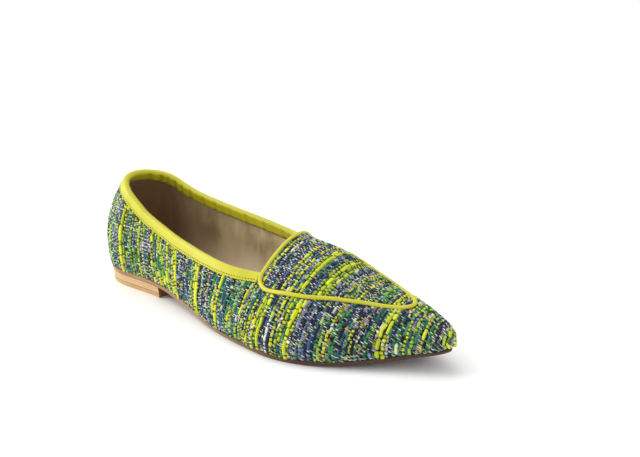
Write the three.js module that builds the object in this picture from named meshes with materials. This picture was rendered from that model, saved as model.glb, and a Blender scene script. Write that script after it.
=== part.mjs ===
import * as THREE from "three";

// Right ballet flat with a pointed toe and a low heel, in millimetres.
// The toe points toward +X, the wearer's left (the medial side) toward +Y, and +Z is up.
// Every curved piece is worked out from one skin function, which takes a side, a station
// along the shoe and a climb from the feather line (0) to the ridge of the last (1).

const LATERAL = -1;
const MEDIAL = 1;

// Driving dimensions
const LENGTH = 262;
const WALL = 2;
const GAP = 0.3;
const SOLE_THICKNESS = 2.5;
const SOLE_LEDGE = 0.6;
const SOLE_TUCK = 1.2;
const SOLE_BEVEL = 0.5;
const INSOLE_THICKNESS = 1.5;
const HEEL_ROUND = 27;
const TOE_ROUND = 6;
const HEEL_FADE = 72;
const BULGE_HEIGHT = 0.25;
const LEDGE_END = 230;
const LEDGE_FADE = 28;

const THROAT = 147;
const THROAT_SLANT = 3;
const THROAT_REACH = 45;
const CORNER_REACH = 12;
const SEAM_TIP = 235.3;
const SEAM_TIP_ROUND = 6;

const BREAST = 60;
const TOP_PIECE_THICKNESS = 2.6;
const HEEL_INSET = 0.5;
const HEEL_TAPER = 0.7;

const BINDING_OUTSIDE = 5.8;
const BINDING_INSIDE = 5.5;
const BINDING_PROUD = 1.1;
const BINDING_BODY = 0.8;
const BINDING_EDGE = 0.5;
const BINDING_TURN = 12;
const CORD_HALF = 1.25;
const CORD_HEIGHT = 1.5;
const CORD_BASE = 0.3;
const CORD_START = 0.9;
const THROAT_PROUD = 1.1;
const THROAT_INSIDE = 4.5;
const THROAT_EDGE = 0.7;
const THROAT_FLAT = 0.15;

// Near the throat corner, one whole climb covers this length of the skin, and the cord and the
// throat strip stop this share of a climb short of the collar strip.
const CLIMB_LENGTH = 69;
const CORD_SETBACK = 0.009;
const THROAT_SETBACK = 0.004;

// Sections of the last. At each station: the centre line and half width of the feather line,
// the underside of the sole, the crown above the foot (with the ridge's own sideways place),
// the swell of the wall, and how square the section is (2 is an ellipse).
const SECTIONS = {
  columns: ["at", "centre", "half", "under", "crown", "ridge", "swell", "square"],
  rows: [
    [0, 0, 23.6, 7.6, 104, 0, 1.4, 2.1],
    [30, 0, 23.8, 7.6, 102, 0, 2.2, 2.1],
    [60, -0.5, 24.3, 7.2, 95, 0, 2.4, 2.5],
    [90, -4.2, 26.6, 4, 79, 1.5, 2.5, 3],
    [120, -8, 31.4, 0.6, 64, 3, 2.5, 2.7],
    [149, -9, 36.3, -0.3, 52, 4, 2.5, 2.1],
    [175, -8.2, 39.2, -0.3, 49.6, 1.6, 2.5, 2],
    [200, -5.4, 34.8, 0.8, 40.4, 3.4, 2.5, 2],
    [221, -2.4, 25.2, 3, 34.8, 5, 2, 2],
    [241, 0.3, 14, 6.9, 31.1, 4.4, 1.5, 2],
    [255, 1.2, 7.4, 10.2, 26.4, 3.2, 1, 2],
    [262, 1.5, 4.9, 12.4, 23.4, 1.5, 0.5, 2],
  ],
};

// Heel curve: how far the back of the upper stands forward at each height above the feather.
const HEEL_CURVE = {
  columns: ["at", "forward"],
  rows: [
    [0, 2],
    [10, 0.6],
    [20, 0],
    [30, 1.6],
    [40, 5.2],
    [50, 10.9],
    [58, 16.2],
    [70, 23.8],
  ],
};

// Height of the cut edge of the upper above the floor, on each side.
const TOPLINE = {
  columns: ["at", "lateral", "medial"],
  rows: [
    [0, 67.4, 67.4],
    [15, 64.8, 64],
    [35, 58.2, 58.2],
    [50, 52.4, 54.7],
    [65, 48.4, 52.7],
    [80, 45.2, 51.1],
    [95, 43.2, 49.6],
    [110, 41.6, 47.9],
    [125, 40, 45.9],
    [140, 38.9, 43.9],
    [150, 38.7, 42.9],
  ],
};

// The vamp seam, in turns across the last: -1 at the lateral feather line, 0 at the ridge, and
// 1 at the medial feather line.
const SEAM = {
  columns: ["at", "middle", "reach"],
  rows: [
    [147, -0.03, 0.55],
    [170, -0.07, 0.47],
    [185, -0.09, 0.4],
    [198, -0.06, 0.35],
    [213, -0.055, 0.29],
    [224, -0.075, 0.225],
    [230, -0.09, 0.175],
    [236, -0.105, 0.13],
  ],
};

// Mesh density
const HEEL_STEPS = 9;
const QUARTER_STEPS = 24;
const VAMP_STEPS = 24;
const TOE_STEPS = 5;
const WALL_ROWS = 7;
const PLUG_ROWS = 5;
const SOLE_LANES = 3;
const CORNER_STEPS = 6;
const SEAM_STEPS = 22;
const TIP_STEPS = 7;
const CORD_ARC_STEPS = 5;
const THROAT_STEPS = 13;
// The grid's wall rows end at this climb over the toe, from so far past the throat.
const TOE_WALL = 0.62;
const TOE_WALL_REACH = 60;
const PLUG_CROWDING = 1.15;

function smooth(value) {
  const t = THREE.MathUtils.clamp(value, 0, 1);
  return t * t * (3 - 2 * t);
}

// Turns a table into one smooth curve per named column.
function curvesOf(table) {
  const at = table.rows.map((row) => row[0]);
  const curves = {};
  table.columns.slice(1).forEach((name, index) => {
    const values = table.rows.map((row) => row[index + 1]);
    curves[name] = (place) => interpolate(at, values, place);
  });
  return curves;
}

// Cubic through the rows, with the slope at each row weighted from its two neighbours.
function interpolate(at, values, place) {
  const end = at.length - 1;
  const x = THREE.MathUtils.clamp(place, at[0], at[end]);
  const rise = (i) => (values[i + 1] - values[i]) / (at[i + 1] - at[i]);
  const slope = (i) => {
    if (i === 0) return rise(0);
    if (i === end) return rise(end - 1);
    const before = at[i] - at[i - 1];
    const after = at[i + 1] - at[i];
    return (rise(i - 1) * after + rise(i) * before) / (before + after);
  };
  let i = 0;
  while (i < end - 1 && x > at[i + 1]) i += 1;
  const span = at[i + 1] - at[i];
  const t = (x - at[i]) / span;
  const t2 = t * t;
  const t3 = t2 * t;
  const ends = (2 * t3 - 3 * t2 + 1) * values[i] + (3 * t2 - 2 * t3) * values[i + 1];
  return ends + (t3 - 2 * t2 + t) * span * slope(i) + (t3 - t2) * span * slope(i + 1);
}

const last = curvesOf(SECTIONS);
const heelCurve = curvesOf(HEEL_CURVE);
const topline = curvesOf(TOPLINE);
const seam = curvesOf(SEAM);
const sideName = (side) => (side === LATERAL ? "lateral" : "medial");

// Rounds the outline off at the back of the heel and at the tip of the toe.
function endRound(station) {
  const heel = Math.max(0, (HEEL_ROUND - station) / HEEL_ROUND);
  const toe = Math.max(0, (station - LENGTH + TOE_ROUND) / TOE_ROUND);
  return Math.sqrt(Math.max(0, 1 - heel * heel)) * Math.sqrt(Math.max(0, 1 - toe * toe));
}

function forward(station, height) {
  return heelCurve.forward(height) * (1 - smooth(station / HEEL_FADE));
}

// Underside of the sole at a place along the shoe, with a flat spot under the ball.
function groundAt(x) {
  return Math.max(0, last.under(x));
}

function featherHeight(station) {
  return groundAt(station + forward(station, 0)) + SOLE_THICKNESS + GAP;
}

// Slants the throat, so that its lateral corner stands further forward than its medial one.
function slide(side, station, climb) {
  const near = 1 - smooth(Math.abs(station - THROAT) / THROAT_REACH);
  return -side * THROAT_SLANT * near * Math.sin(Math.PI * climb);
}

// A point on the outside of the upper.
function skin(side, place, climb) {
  const station = place + slide(side, place, climb);
  const feather = featherHeight(station);
  const headroom = last.crown(station) - feather;
  const rise = Math.sin((climb * Math.PI) / 2);
  const height = headroom * rise;
  const square = last.square(station);
  const span = Math.pow(Math.max(0, 1 - Math.pow(rise, square)), 1 / square);
  const ratio = rise / BULGE_HEIGHT;
  const swell = last.swell(station) * ratio * Math.exp(1 - ratio) * Math.cos((climb * Math.PI) / 2);
  const centre = THREE.MathUtils.lerp(last.centre(station), last.ridge(station), smooth(climb));
  const half = endRound(station) * (last.half(station) * span + swell);
  return new THREE.Vector3(station + forward(station, height), centre + side * half, feather + height);
}

// Outward normal of the skin, shared by both sides where they meet.
function normalAt(side, station, climb) {
  const step = 0.02;
  const climbStep = 0.001;
  const one = (which) => {
    const s = THREE.MathUtils.clamp(station, step * 1.01, LENGTH - step * 1.01);
    const v = THREE.MathUtils.clamp(climb, climbStep, 1 - climbStep * 1.01);
    const along = skin(which, s + step, v).sub(skin(which, s - step, v));
    const up = skin(which, s, v + climbStep).sub(skin(which, s, v - climbStep));
    return along.cross(up).multiplyScalar(-which).normalize();
  };
  const normal = one(side);
  const shared = station < step || station > LENGTH - step || climb > 1 - climbStep;
  return shared ? normal.add(one(-side)).normalize() : normal;
}

// A point on the inside of the upper. Its lowest edge stays level with the outside edge.
function inside(side, station, climb) {
  const levelBelow = 0.12;
  const normal = normalAt(side, station, climb);
  normal.z *= smooth(climb / levelBelow);
  const point = skin(side, station, climb).addScaledVector(normal.normalize(), -WALL);
  if (climb === 0) point.z = groundAt(point.x) + SOLE_THICKNESS + GAP;
  return point;
}

function toplineClimb(side, station) {
  const shift = THROAT_SLANT * smooth((station - THROAT + THROAT_REACH) / THROAT_REACH);
  const s = Math.min(station, THROAT) - side * shift;
  const feather = featherHeight(s);
  const ratio = (topline[sideName(side)](s) - feather) / (last.crown(s) - feather);
  return (Math.asin(THREE.MathUtils.clamp(ratio, 0, 1)) * 2) / Math.PI;
}

// Turn of the vamp seam, which leaves the corner of the throat and ends in a rounded point.
function seamTurn(side, station) {
  const tip = THREE.MathUtils.clamp((station - SEAM_TIP + SEAM_TIP_ROUND) / SEAM_TIP_ROUND, 0, 1);
  const along = seam.middle(station) + side * seam.reach(station) * Math.sqrt(1 - tip * tip);
  const out = 1 - THREE.MathUtils.clamp((station - THROAT - CORD_START) / CORNER_REACH, 0, 1);
  const corner = side * (1 - toplineClimb(side, THROAT));
  return THREE.MathUtils.lerp(corner, along, Math.sqrt(1 - out * out));
}

// Stations from heel to toe, closer together where the outline turns.
function stationsOf() {
  const list = [];
  for (let i = 0; i < HEEL_STEPS; i += 1) {
    list.push(HEEL_ROUND * (1 - Math.cos((i * Math.PI) / 2 / HEEL_STEPS)));
  }
  for (let i = 0; i < QUARTER_STEPS; i += 1) {
    list.push(THREE.MathUtils.lerp(HEEL_ROUND, THROAT, i / QUARTER_STEPS));
  }
  for (let i = 0; i < VAMP_STEPS; i += 1) {
    list.push(THREE.MathUtils.lerp(THROAT, LENGTH - TOE_ROUND, i / VAMP_STEPS));
  }
  for (let i = 0; i <= TOE_STEPS; i += 1) {
    list.push(LENGTH - TOE_ROUND * (1 - Math.sin((i * Math.PI) / 2 / TOE_STEPS)));
  }
  return list;
}

const STATIONS = stationsOf();
const THROAT_INDEX = HEEL_STEPS + QUARTER_STEPS;

// Collects triangles, welds shared corners and drops triangles with no area.
class Surface {
  constructor() {
    this.points = [];
    this.faces = [];
    this.known = new Map();
  }

  corner(point) {
    const key = point.toArray().map((value) => Math.round(value * 1e4)).join();
    if (!this.known.has(key)) {
      this.known.set(key, this.points.length);
      this.points.push(point);
    }
    return this.known.get(key);
  }

  triangle(a, b, c) {
    const [i, j, k] = [a, b, c].map((point) => this.corner(point));
    if (i !== j && j !== k && k !== i) this.faces.push(i, j, k);
  }

  // The shorter diagonal is cut, so that a twisted quad stays close to the curve.
  quad(a, b, c, d, flip = false) {
    const [p, q, r, s] = flip ? [d, c, b, a] : [a, b, c, d];
    if (p.distanceTo(r) < q.distanceTo(s)) {
      this.triangle(p, q, r);
      this.triangle(p, r, s);
    } else {
      this.triangle(p, q, s);
      this.triangle(q, r, s);
    }
  }

  mesh(name, color, roughness) {
    const geometry = new THREE.BufferGeometry();
    const flat = this.points.flatMap((point) => point.toArray());
    geometry.setAttribute("position", new THREE.Float32BufferAttribute(flat, 3));
    geometry.setIndex(this.faces);
    geometry.computeVertexNormals();
    const mesh = new THREE.Mesh(geometry, new THREE.MeshStandardMaterial({ color, roughness }));
    mesh.name = name;
    return mesh;
  }
}

// Climbs of the upper's grid at one station: the wall rows, then the rows over the vamp.
function climbsAt(side, index) {
  const station = STATIONS[index];
  const wide = smooth((station - THROAT) / TOE_WALL_REACH);
  const edge = THREE.MathUtils.lerp(toplineClimb(side, station), TOE_WALL, wide);
  const list = [];
  for (let j = 0; j <= WALL_ROWS; j += 1) list.push((edge * j) / WALL_ROWS);
  for (let j = 1; j <= PLUG_ROWS; j += 1) {
    const step = 1 - Math.pow(1 - j / PLUG_ROWS, PLUG_CROWDING);
    list.push(THREE.MathUtils.lerp(edge, 1, step));
  }
  return list;
}

function gridOf(place) {
  return [LATERAL, MEDIAL].map((side) =>
    STATIONS.map((station, index) => climbsAt(side, index).map((climb) => place(side, station, climb)))
  );
}

// The hollow upper: an outer and an inner grid, joined by rims at the feather line, the
// topline and the throat, so that it is open at the top and underneath.
function buildUpper() {
  const surface = new Surface();
  const outer = gridOf(skin);
  const inner = gridOf(inside);
  const top = WALL_ROWS;
  [0, 1].forEach((k) => {
    const flip = k === 1;
    for (let i = 0; i < STATIONS.length - 1; i += 1) {
      const rows = i < THROAT_INDEX ? top : top + PLUG_ROWS;
      for (let j = 0; j < rows; j += 1) {
        const cell = (grid) => [grid[k][i][j], grid[k][i + 1][j], grid[k][i + 1][j + 1], grid[k][i][j + 1]];
        surface.quad(...cell(outer), flip);
        surface.quad(...cell(inner), !flip);
      }
      surface.quad(inner[k][i][0], inner[k][i + 1][0], outer[k][i + 1][0], outer[k][i][0], flip);
      if (i < THROAT_INDEX) {
        surface.quad(outer[k][i][top], outer[k][i + 1][top], inner[k][i + 1][top], inner[k][i][top], flip);
      }
    }
    for (let j = top; j < top + PLUG_ROWS; j += 1) {
      const [a, b] = [outer[k][THROAT_INDEX][j], outer[k][THROAT_INDEX][j + 1]];
      const [c, d] = [inner[k][THROAT_INDEX][j + 1], inner[k][THROAT_INDEX][j]];
      surface.quad(a, b, c, d, flip);
    }
  });
  return surface.mesh("upper", 0x6f8f6a, 0.9);
}

// Joins a row of rings into one closed body, capped at both ends with the section itself.
function sweep(rings, section, name, color, roughness) {
  const surface = new Surface();
  const sides = section.length;
  const end = rings.length - 1;
  for (let i = 0; i < end; i += 1) {
    for (let j = 0; j < sides; j += 1) {
      const k = (j + 1) % sides;
      surface.quad(rings[i][j], rings[i + 1][j], rings[i + 1][k], rings[i][k]);
    }
  }
  const outline = section.map(([x, y]) => new THREE.Vector2(x, y));
  const turns = THREE.ShapeUtils.isClockWise(outline) ? -1 : 1;
  THREE.ShapeUtils.triangulateShape(outline, []).forEach((corners) => {
    const [a, b, c] = turns === 1 ? corners : corners.slice().reverse();
    surface.triangle(rings[0][a], rings[0][b], rings[0][c]);
    surface.triangle(rings[end][c], rings[end][b], rings[end][a]);
  });
  return surface.mesh(name, color, roughness);
}

// A point near the topline: so deep below the cut edge, and so far out from the skin.
function nearTopline(side, station, depth, out) {
  const edge = toplineClimb(side, station);
  const top = skin(side, station, edge);
  const below = 0.01;
  const step = 0.02;
  if (depth <= 0) {
    const up = top.clone().sub(skin(side, station, edge - below)).normalize();
    return top.addScaledVector(up, -depth).addScaledVector(normalAt(side, station, edge), out);
  }
  let climb = edge;
  for (let pass = 0; pass < 3; pass += 1) {
    const here = skin(side, station, climb).distanceTo(top);
    const slope = (skin(side, station, climb - step).distanceTo(top) - here) / step;
    climb -= (depth - here) / slope;
  }
  return skin(side, station, climb).addScaledVector(normalAt(side, station, climb), out);
}

// Section of the folded collar strip: depth below the edge, then distance out from the skin.
function collarSection() {
  const inner = -WALL - GAP;
  const proud = GAP + BINDING_BODY;
  const shoulder = -BINDING_PROUD * 0.75;
  return [
    [BINDING_OUTSIDE, GAP],
    [BINDING_OUTSIDE, GAP + BINDING_EDGE],
    [BINDING_OUTSIDE / 2, proud],
    [0, proud],
    [shoulder, proud - BINDING_EDGE],
    [-BINDING_PROUD, -WALL / 2],
    [shoulder, -WALL - proud + BINDING_EDGE],
    [0, -WALL - proud],
    [BINDING_INSIDE, inner - BINDING_EDGE],
    [BINDING_INSIDE, inner],
    [0, inner],
    [-GAP, inner],
    [-GAP, GAP],
    [0, GAP],
  ];
}

// Station where the cord passes a climb, on its way round the throat corner.
function cordStationAt(side, climb) {
  let near = THROAT + CORD_START;
  let far = near + CORNER_REACH;
  for (let pass = 0; pass < 20; pass += 1) {
    const middle = (near + far) / 2;
    if (1 - Math.abs(seamTurn(side, middle)) > climb) near = middle;
    else far = middle;
  }
  return near;
}

// Where the strip's outside leg ends at a depth, as it follows the cord round the corner.
function legEnd(side, depth) {
  const climb = toplineClimb(side, THROAT) - depth / CLIMB_LENGTH;
  const clear = (CORD_HALF + GAP) / CLIMB_LENGTH;
  return cordStationAt(side, climb + clear) - CORD_HALF - GAP * 1.5;
}

function buildCollarBinding() {
  const section = collarSection();
  const end = THROAT - THROAT_PROUD - GAP * 1.2;
  const beforeEnd = THROAT - 3.4;
  const fitted = THROAT_INDEX - 1;
  const stations = STATIONS.slice(0, fitted).concat([beforeEnd, end]);
  const ring = (side, station) => {
    const follow = smooth((station - end + BINDING_TURN) / BINDING_TURN);
    return section.map(([depth, out]) => {
      const outside = out > 0 && depth > 0;
      const shift = outside ? (legEnd(side, depth) - end) * follow : 0;
      return nearTopline(side, station + shift, depth, out);
    });
  };
  const lateral = stations.slice().reverse().map((station) => ring(LATERAL, station));
  const medial = stations.slice(1).map((station) => ring(MEDIAL, station));
  return sweep(lateral.concat(medial).reverse(), section, "collar_binding", 0xc6bb1e, 0.6);
}

// Section of the folded strip on the throat edge: distance forward from the cut edge, then out.
function throatSection() {
  const inner = -WALL - GAP;
  const top = GAP + CORD_HEIGHT - THROAT_FLAT;
  const shoulder = -THROAT_PROUD * 0.8;
  return [
    [CORD_START + CORD_HALF, GAP],
    [CORD_START + CORD_HALF, GAP + THROAT_EDGE],
    [CORD_START + CORD_HALF * 0.5, top],
    [0.2, top],
    [shoulder, GAP + 0.5],
    [-THROAT_PROUD, -WALL / 2],
    [shoulder, inner - 0.4],
    [0, inner - 0.8],
    [THROAT_INSIDE, inner - 0.6],
    [THROAT_INSIDE, inner],
    [-GAP, inner],
    [-GAP, GAP],
  ];
}

function buildThroatBinding() {
  const section = throatSection();
  const ring = (side, climb) =>
    section.map(([ahead, out]) => {
      const pace = skin(side, THROAT + 0.5, climb).distanceTo(skin(side, THROAT, climb)) * 2;
      const at = Math.max(THROAT, THROAT + ahead / pace);
      const point = skin(side, at, climb);
      if (ahead < 0) point.x += ahead;
      return point.addScaledVector(normalAt(side, at, climb), out);
    });
  const rings = [];
  [LATERAL, MEDIAL].forEach((side) => {
    const foot = toplineClimb(side, THROAT) + THROAT_SETBACK;
    for (let i = 0; i <= THROAT_STEPS; i += 1) {
      const share = side === LATERAL ? i / THROAT_STEPS : 1 - i / THROAT_STEPS;
      if (side === MEDIAL && i === 0) continue;
      rings.push(ring(side, THREE.MathUtils.lerp(foot, 1, share)));
    }
  });
  return sweep(rings, section, "throat_binding", 0xc6bb1e, 0.6);
}

// Section of the cord: across the seam, then out from the skin.
function cordSection() {
  const section = [];
  for (let i = 0; i <= CORD_ARC_STEPS; i += 1) {
    const turn = (Math.PI * i) / CORD_ARC_STEPS;
    const lift = GAP + CORD_BASE + (CORD_HEIGHT - CORD_BASE) * Math.sin(turn);
    section.push([CORD_HALF * Math.cos(turn), lift]);
  }
  section.push([-CORD_HALF, GAP]);
  section.push([0, GAP + 0.02]);
  section.push([CORD_HALF, GAP]);
  return section;
}

// Places along the seam on one side, from the throat corner to the tip.
function seamPath(side) {
  const path = [];
  const first = THROAT + CORD_START;
  const straight = first + CORNER_REACH;
  const quarterTurn = Math.PI / 2;
  for (let i = 0; i < CORNER_STEPS; i += 1) {
    path.push(first + CORNER_REACH * (1 - Math.cos((i * quarterTurn) / CORNER_STEPS)));
  }
  for (let i = 0; i < SEAM_STEPS; i += 1) {
    path.push(THREE.MathUtils.lerp(straight, SEAM_TIP - SEAM_TIP_ROUND, i / SEAM_STEPS));
  }
  for (let i = 0; i <= TIP_STEPS; i += 1) {
    path.push(SEAM_TIP - SEAM_TIP_ROUND * (1 - Math.sin((i * quarterTurn) / TIP_STEPS)));
  }
  return path.map((station) => {
    const turn = seamTurn(side, station);
    return { side: turn < 0 ? LATERAL : MEDIAL, station, climb: 1 - Math.abs(turn) };
  });
}

function buildVampPiping() {
  const section = cordSection();
  const lateral = seamPath(LATERAL);
  const medial = seamPath(MEDIAL).reverse().slice(1);
  const path = lateral.concat(medial);
  path[0].climb -= CORD_SETBACK;
  path[path.length - 1].climb -= CORD_SETBACK;
  const centres = path.map(({ side, station, climb }) => skin(side, station, climb));
  const rings = path.map(({ side, station, climb }, i) => {
    const before = centres[Math.max(0, i - 1)];
    const after = centres[Math.min(centres.length - 1, i + 1)];
    const out = normalAt(side, station, climb);
    const across = after.clone().sub(before).normalize().cross(out).normalize();
    return section.map(([aside, lift]) =>
      centres[i].clone().addScaledVector(across, aside).addScaledVector(out, lift)
    );
  });
  return sweep(rings, section, "vamp_piping", 0xc6bb1e, 0.6);
}

// The feather outline at one station, moved outward (or inward, if negative) in plan.
function outlinePoint(side, station, outward) {
  const point = skin(side, station, 0);
  const normal = normalAt(side, station, 0);
  normal.z = 0;
  return point.addScaledVector(normal.normalize(), outward);
}

// A plate inside one outline: lanes across it on the top and the bottom, and a wall round it.
// The levels go from the bottom edge to the top edge, each with its own outline and height.
function plate(name, stations, levels, color, roughness) {
  const surface = new Surface();
  const rims = levels.map(({ outward, height }) =>
    [LATERAL, MEDIAL].map((side) =>
      stations.map((station) => {
        const point = outlinePoint(side, station, outward(station));
        point.z = height(point.x);
        return point;
      })
    )
  );
  const across = (rim, height, i, lane) => {
    const point = rim[0][i].clone().lerp(rim[1][i], lane / SOLE_LANES);
    if (lane > 0 && lane < SOLE_LANES) point.z = height(point.x);
    return point;
  };
  const faces = [
    { rim: rims[0], height: levels[0].height, flip: true },
    { rim: rims[levels.length - 1], height: levels[levels.length - 1].height, flip: false },
  ];
  for (let i = 0; i < stations.length - 1; i += 1) {
    faces.forEach(({ rim, height, flip }) => {
      for (let lane = 0; lane < SOLE_LANES; lane += 1) {
        const [a, b] = [across(rim, height, i, lane), across(rim, height, i + 1, lane)];
        const [c, d] = [across(rim, height, i + 1, lane + 1), across(rim, height, i, lane + 1)];
        surface.quad(a, b, c, d, flip);
      }
    });
    for (let level = 0; level < levels.length - 1; level += 1) {
      const [low, high] = [rims[level], rims[level + 1]];
      surface.quad(low[0][i], low[0][i + 1], high[0][i + 1], high[0][i]);
      surface.quad(low[1][i], low[1][i + 1], high[1][i + 1], high[1][i], true);
    }
  }
  closeEnd(surface, rims, levels, stations.length - 1, across);
  return surface.mesh(name, color, roughness);
}

// Closes a plate that stops short of the toe with a straight wall across it.
function closeEnd(surface, rims, levels, i, across) {
  if (rims[0][0][i].distanceTo(rims[0][1][i]) < 0.01) return;
  for (let level = 0; level < levels.length - 1; level += 1) {
    for (let lane = 0; lane < SOLE_LANES; lane += 1) {
      const low = (place) => across(rims[level], levels[level].height, i, place);
      const high = (place) => across(rims[level + 1], levels[level + 1].height, i, place);
      surface.quad(low(lane), low(lane + 1), high(lane + 1), high(lane));
    }
  }
}

// The sole shows as a thin ledge, and tucks in under the tip of the toe.
function ledgeAt(station) {
  return SOLE_LEDGE - (SOLE_LEDGE + SOLE_TUCK) * smooth((station - LEDGE_END) / LEDGE_FADE);
}

function buildOutsole() {
  const bottom = groundAt;
  const top = (x) => groundAt(x) + SOLE_THICKNESS;
  const levels = [
    { outward: (station) => ledgeAt(station) - SOLE_BEVEL, height: bottom },
    { outward: ledgeAt, height: (x) => bottom(x) + SOLE_BEVEL },
    { outward: ledgeAt, height: top },
  ];
  return plate("outsole", STATIONS, levels, 0xa87f55, 0.6);
}

function buildInsole() {
  const base = (x) => groundAt(x) + SOLE_THICKNESS + GAP;
  const inward = () => -WALL - GAP * 1.3;
  const levels = [
    { outward: inward, height: base },
    { outward: inward, height: (x) => base(x) + INSOLE_THICKNESS },
  ];
  return plate("insole", STATIONS, levels, 0xb9a58a, 0.8);
}

// The stations under the heel, with none too close to the breast.
function heelStations() {
  const clear = 3;
  const list = STATIONS.filter((station) => station < BREAST - clear);
  list.push(BREAST);
  return list;
}

// Outward place of the heel's wall at a height, which draws in a little toward the floor.
function heelDraw(height) {
  return SOLE_LEDGE - HEEL_INSET - HEEL_TAPER * (1 - height / last.under(0));
}

function buildHeelBlock() {
  const low = TOP_PIECE_THICKNESS + GAP;
  const levels = [
    { outward: () => heelDraw(low), height: () => low },
    { outward: () => heelDraw(last.under(0)), height: (x) => groundAt(x) - GAP },
  ];
  return plate("heel_block", heelStations(), levels, 0xc09a6b, 0.6);
}

function buildHeelTopPiece() {
  const levels = [
    { outward: () => heelDraw(0), height: () => 0 },
    { outward: () => heelDraw(TOP_PIECE_THICKNESS), height: () => TOP_PIECE_THICKNESS },
  ];
  return plate("heel_top_piece", heelStations(), levels, 0xa9713f, 0.7);
}

// Puts the origin on the floor, under the middle of the whole shoe.
function centreOnFloor(group) {
  const middle = new THREE.Box3().setFromObject(group).getCenter(new THREE.Vector3());
  group.children.forEach((mesh) => mesh.geometry.translate(-middle.x, -middle.y, 0));
}

const shoe = new THREE.Group();
shoe.name = "ballet_flat";
shoe.add(buildOutsole());
shoe.add(buildHeelBlock());
shoe.add(buildHeelTopPiece());
shoe.add(buildInsole());
shoe.add(buildUpper());
shoe.add(buildCollarBinding());
shoe.add(buildThroatBinding());
shoe.add(buildVampPiping());
centreOnFloor(shoe);

export default shoe;
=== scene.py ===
# Right ballet flat in woven tweed, dressed for a photograph. Every length in the tables is in
# millimetres, along the last that the solids were built on, and is turned into metres by place().
import math

import bmesh
import bpy
import numpy as np
from mathutils import Matrix, Vector


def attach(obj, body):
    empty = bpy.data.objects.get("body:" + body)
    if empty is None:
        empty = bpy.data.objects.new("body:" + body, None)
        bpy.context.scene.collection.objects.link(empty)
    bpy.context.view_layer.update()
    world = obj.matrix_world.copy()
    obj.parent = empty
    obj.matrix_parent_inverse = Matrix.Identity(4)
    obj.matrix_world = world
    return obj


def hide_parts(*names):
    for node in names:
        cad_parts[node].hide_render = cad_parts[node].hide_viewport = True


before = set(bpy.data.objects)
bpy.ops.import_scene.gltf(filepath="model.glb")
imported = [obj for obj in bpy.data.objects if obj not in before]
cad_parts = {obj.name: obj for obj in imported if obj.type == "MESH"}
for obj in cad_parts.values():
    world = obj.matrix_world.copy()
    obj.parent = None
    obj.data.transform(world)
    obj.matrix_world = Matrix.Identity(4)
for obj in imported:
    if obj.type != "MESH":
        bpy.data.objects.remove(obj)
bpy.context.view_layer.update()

LATERAL = -1.0
MEDIAL = 1.0

# Driving dimensions of the last, as in the solids
LENGTH = 262.0
WALL = 2.0
GAP = 0.3
SOLE_THICKNESS = 2.5
HEEL_ROUND = 27.0
TOE_ROUND = 6.0
HEEL_FADE = 72.0
BULGE_HEIGHT = 0.25
THROAT = 147.0
THROAT_SLANT = 3.0
THROAT_REACH = 45.0
CORNER_REACH = 12.0
SEAM_TIP = 235.3
SEAM_TIP_ROUND = 6.0
BINDING_OUTSIDE = 5.8
BINDING_INSIDE = 5.5
BINDING_PROUD = 1.1
CORD_HALF = 1.25
CORD_HEIGHT = 1.5
CORD_START = 0.9
CLIMB_LENGTH = 69.0

# Stitching, edges and cloth thickness
STITCH_PITCH = 1.9
STITCH_DEPTH = 4.45
STITCH_HALF = 0.17
HOLE_HALF = 0.42
LINING_THICKNESS = 0.0003
FEATHER_START = 0.6
FEATHER_HALF = 0.6
EDGE_ROUND = 0.0003
BREAST_FACE = -0.0707
BREAST_BLEND = 0.0004
FEATHER_RINGS = 260
FEATHER_TURN = 0.999
FEATHER_LIFT = 0.35
FEATHER_DARK_FROM = 100
FEATHER_DARK_OVER = 110

# Colours in daylight
TRIM_BRIGHT = (0.78, 0.76, 0.13)
TRIM_DEEP = (0.73, 0.71, 0.09)
# Painted shade: the trim's colour where the strip turns inside, away from the light
TRIM_PAINTED_SHADE = (0.66, 0.63, 0.05)
THREAD = (0.78, 0.75, 0.12)
# Painted shade: the thread's colour on the inside of the strip
THREAD_PAINTED_SHADE = (0.58, 0.54, 0.08)
# Painted shade: the dark of each needle hole
NEEDLE_HOLE_SHADE = (0.22, 0.20, 0.05)
GROUND_DARK = (0.10, 0.11, 0.14)
GROUND_LIGHT = (0.28, 0.30, 0.32)
LINING_LIGHT = (0.80, 0.73, 0.58)
LINING_DEEP = (0.58, 0.51, 0.37)
LINING_FOOT = (0.92, 0.85, 0.75)
# Painted shade inside the heel of the lining
LINING_HEEL_SHADE = (0.46, 0.36, 0.24)
LINING_EDGE = (0.62, 0.54, 0.42)
SOCK_LIGHT = (0.95, 0.90, 0.81)
SOCK_DEEP = (0.90, 0.83, 0.72)
# Painted shade on the sock at the heel
SOCK_HEEL_SHADE = (0.66, 0.54, 0.39)
SOLE_LIGHT = (0.70, 0.56, 0.40)
SOLE_DEEP = (0.56, 0.42, 0.28)
SOLE_RED = (0.50, 0.33, 0.21)
SOLE_TOE = (0.30, 0.18, 0.11)
SOLE_SCUFF = (0.62, 0.50, 0.38)
STACK_LIGHT = (0.83, 0.71, 0.53)
STACK_DEEP = (0.77, 0.63, 0.45)
STACK_LINE = (0.69, 0.55, 0.38)
STACK_BREAST = (0.50, 0.36, 0.23)
TIP_LIGHT = (0.79, 0.65, 0.46)
TIP_DEEP = (0.71, 0.56, 0.38)
# Painted shadow line where the upper meets the sole, at the heel end and at the toe end
FEATHER_SHADOW_HEEL = (0.46, 0.33, 0.20)
FEATHER_SHADOW_TOE = (0.13, 0.08, 0.06)
FLOOR = (0.97, 0.97, 0.97)

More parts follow.
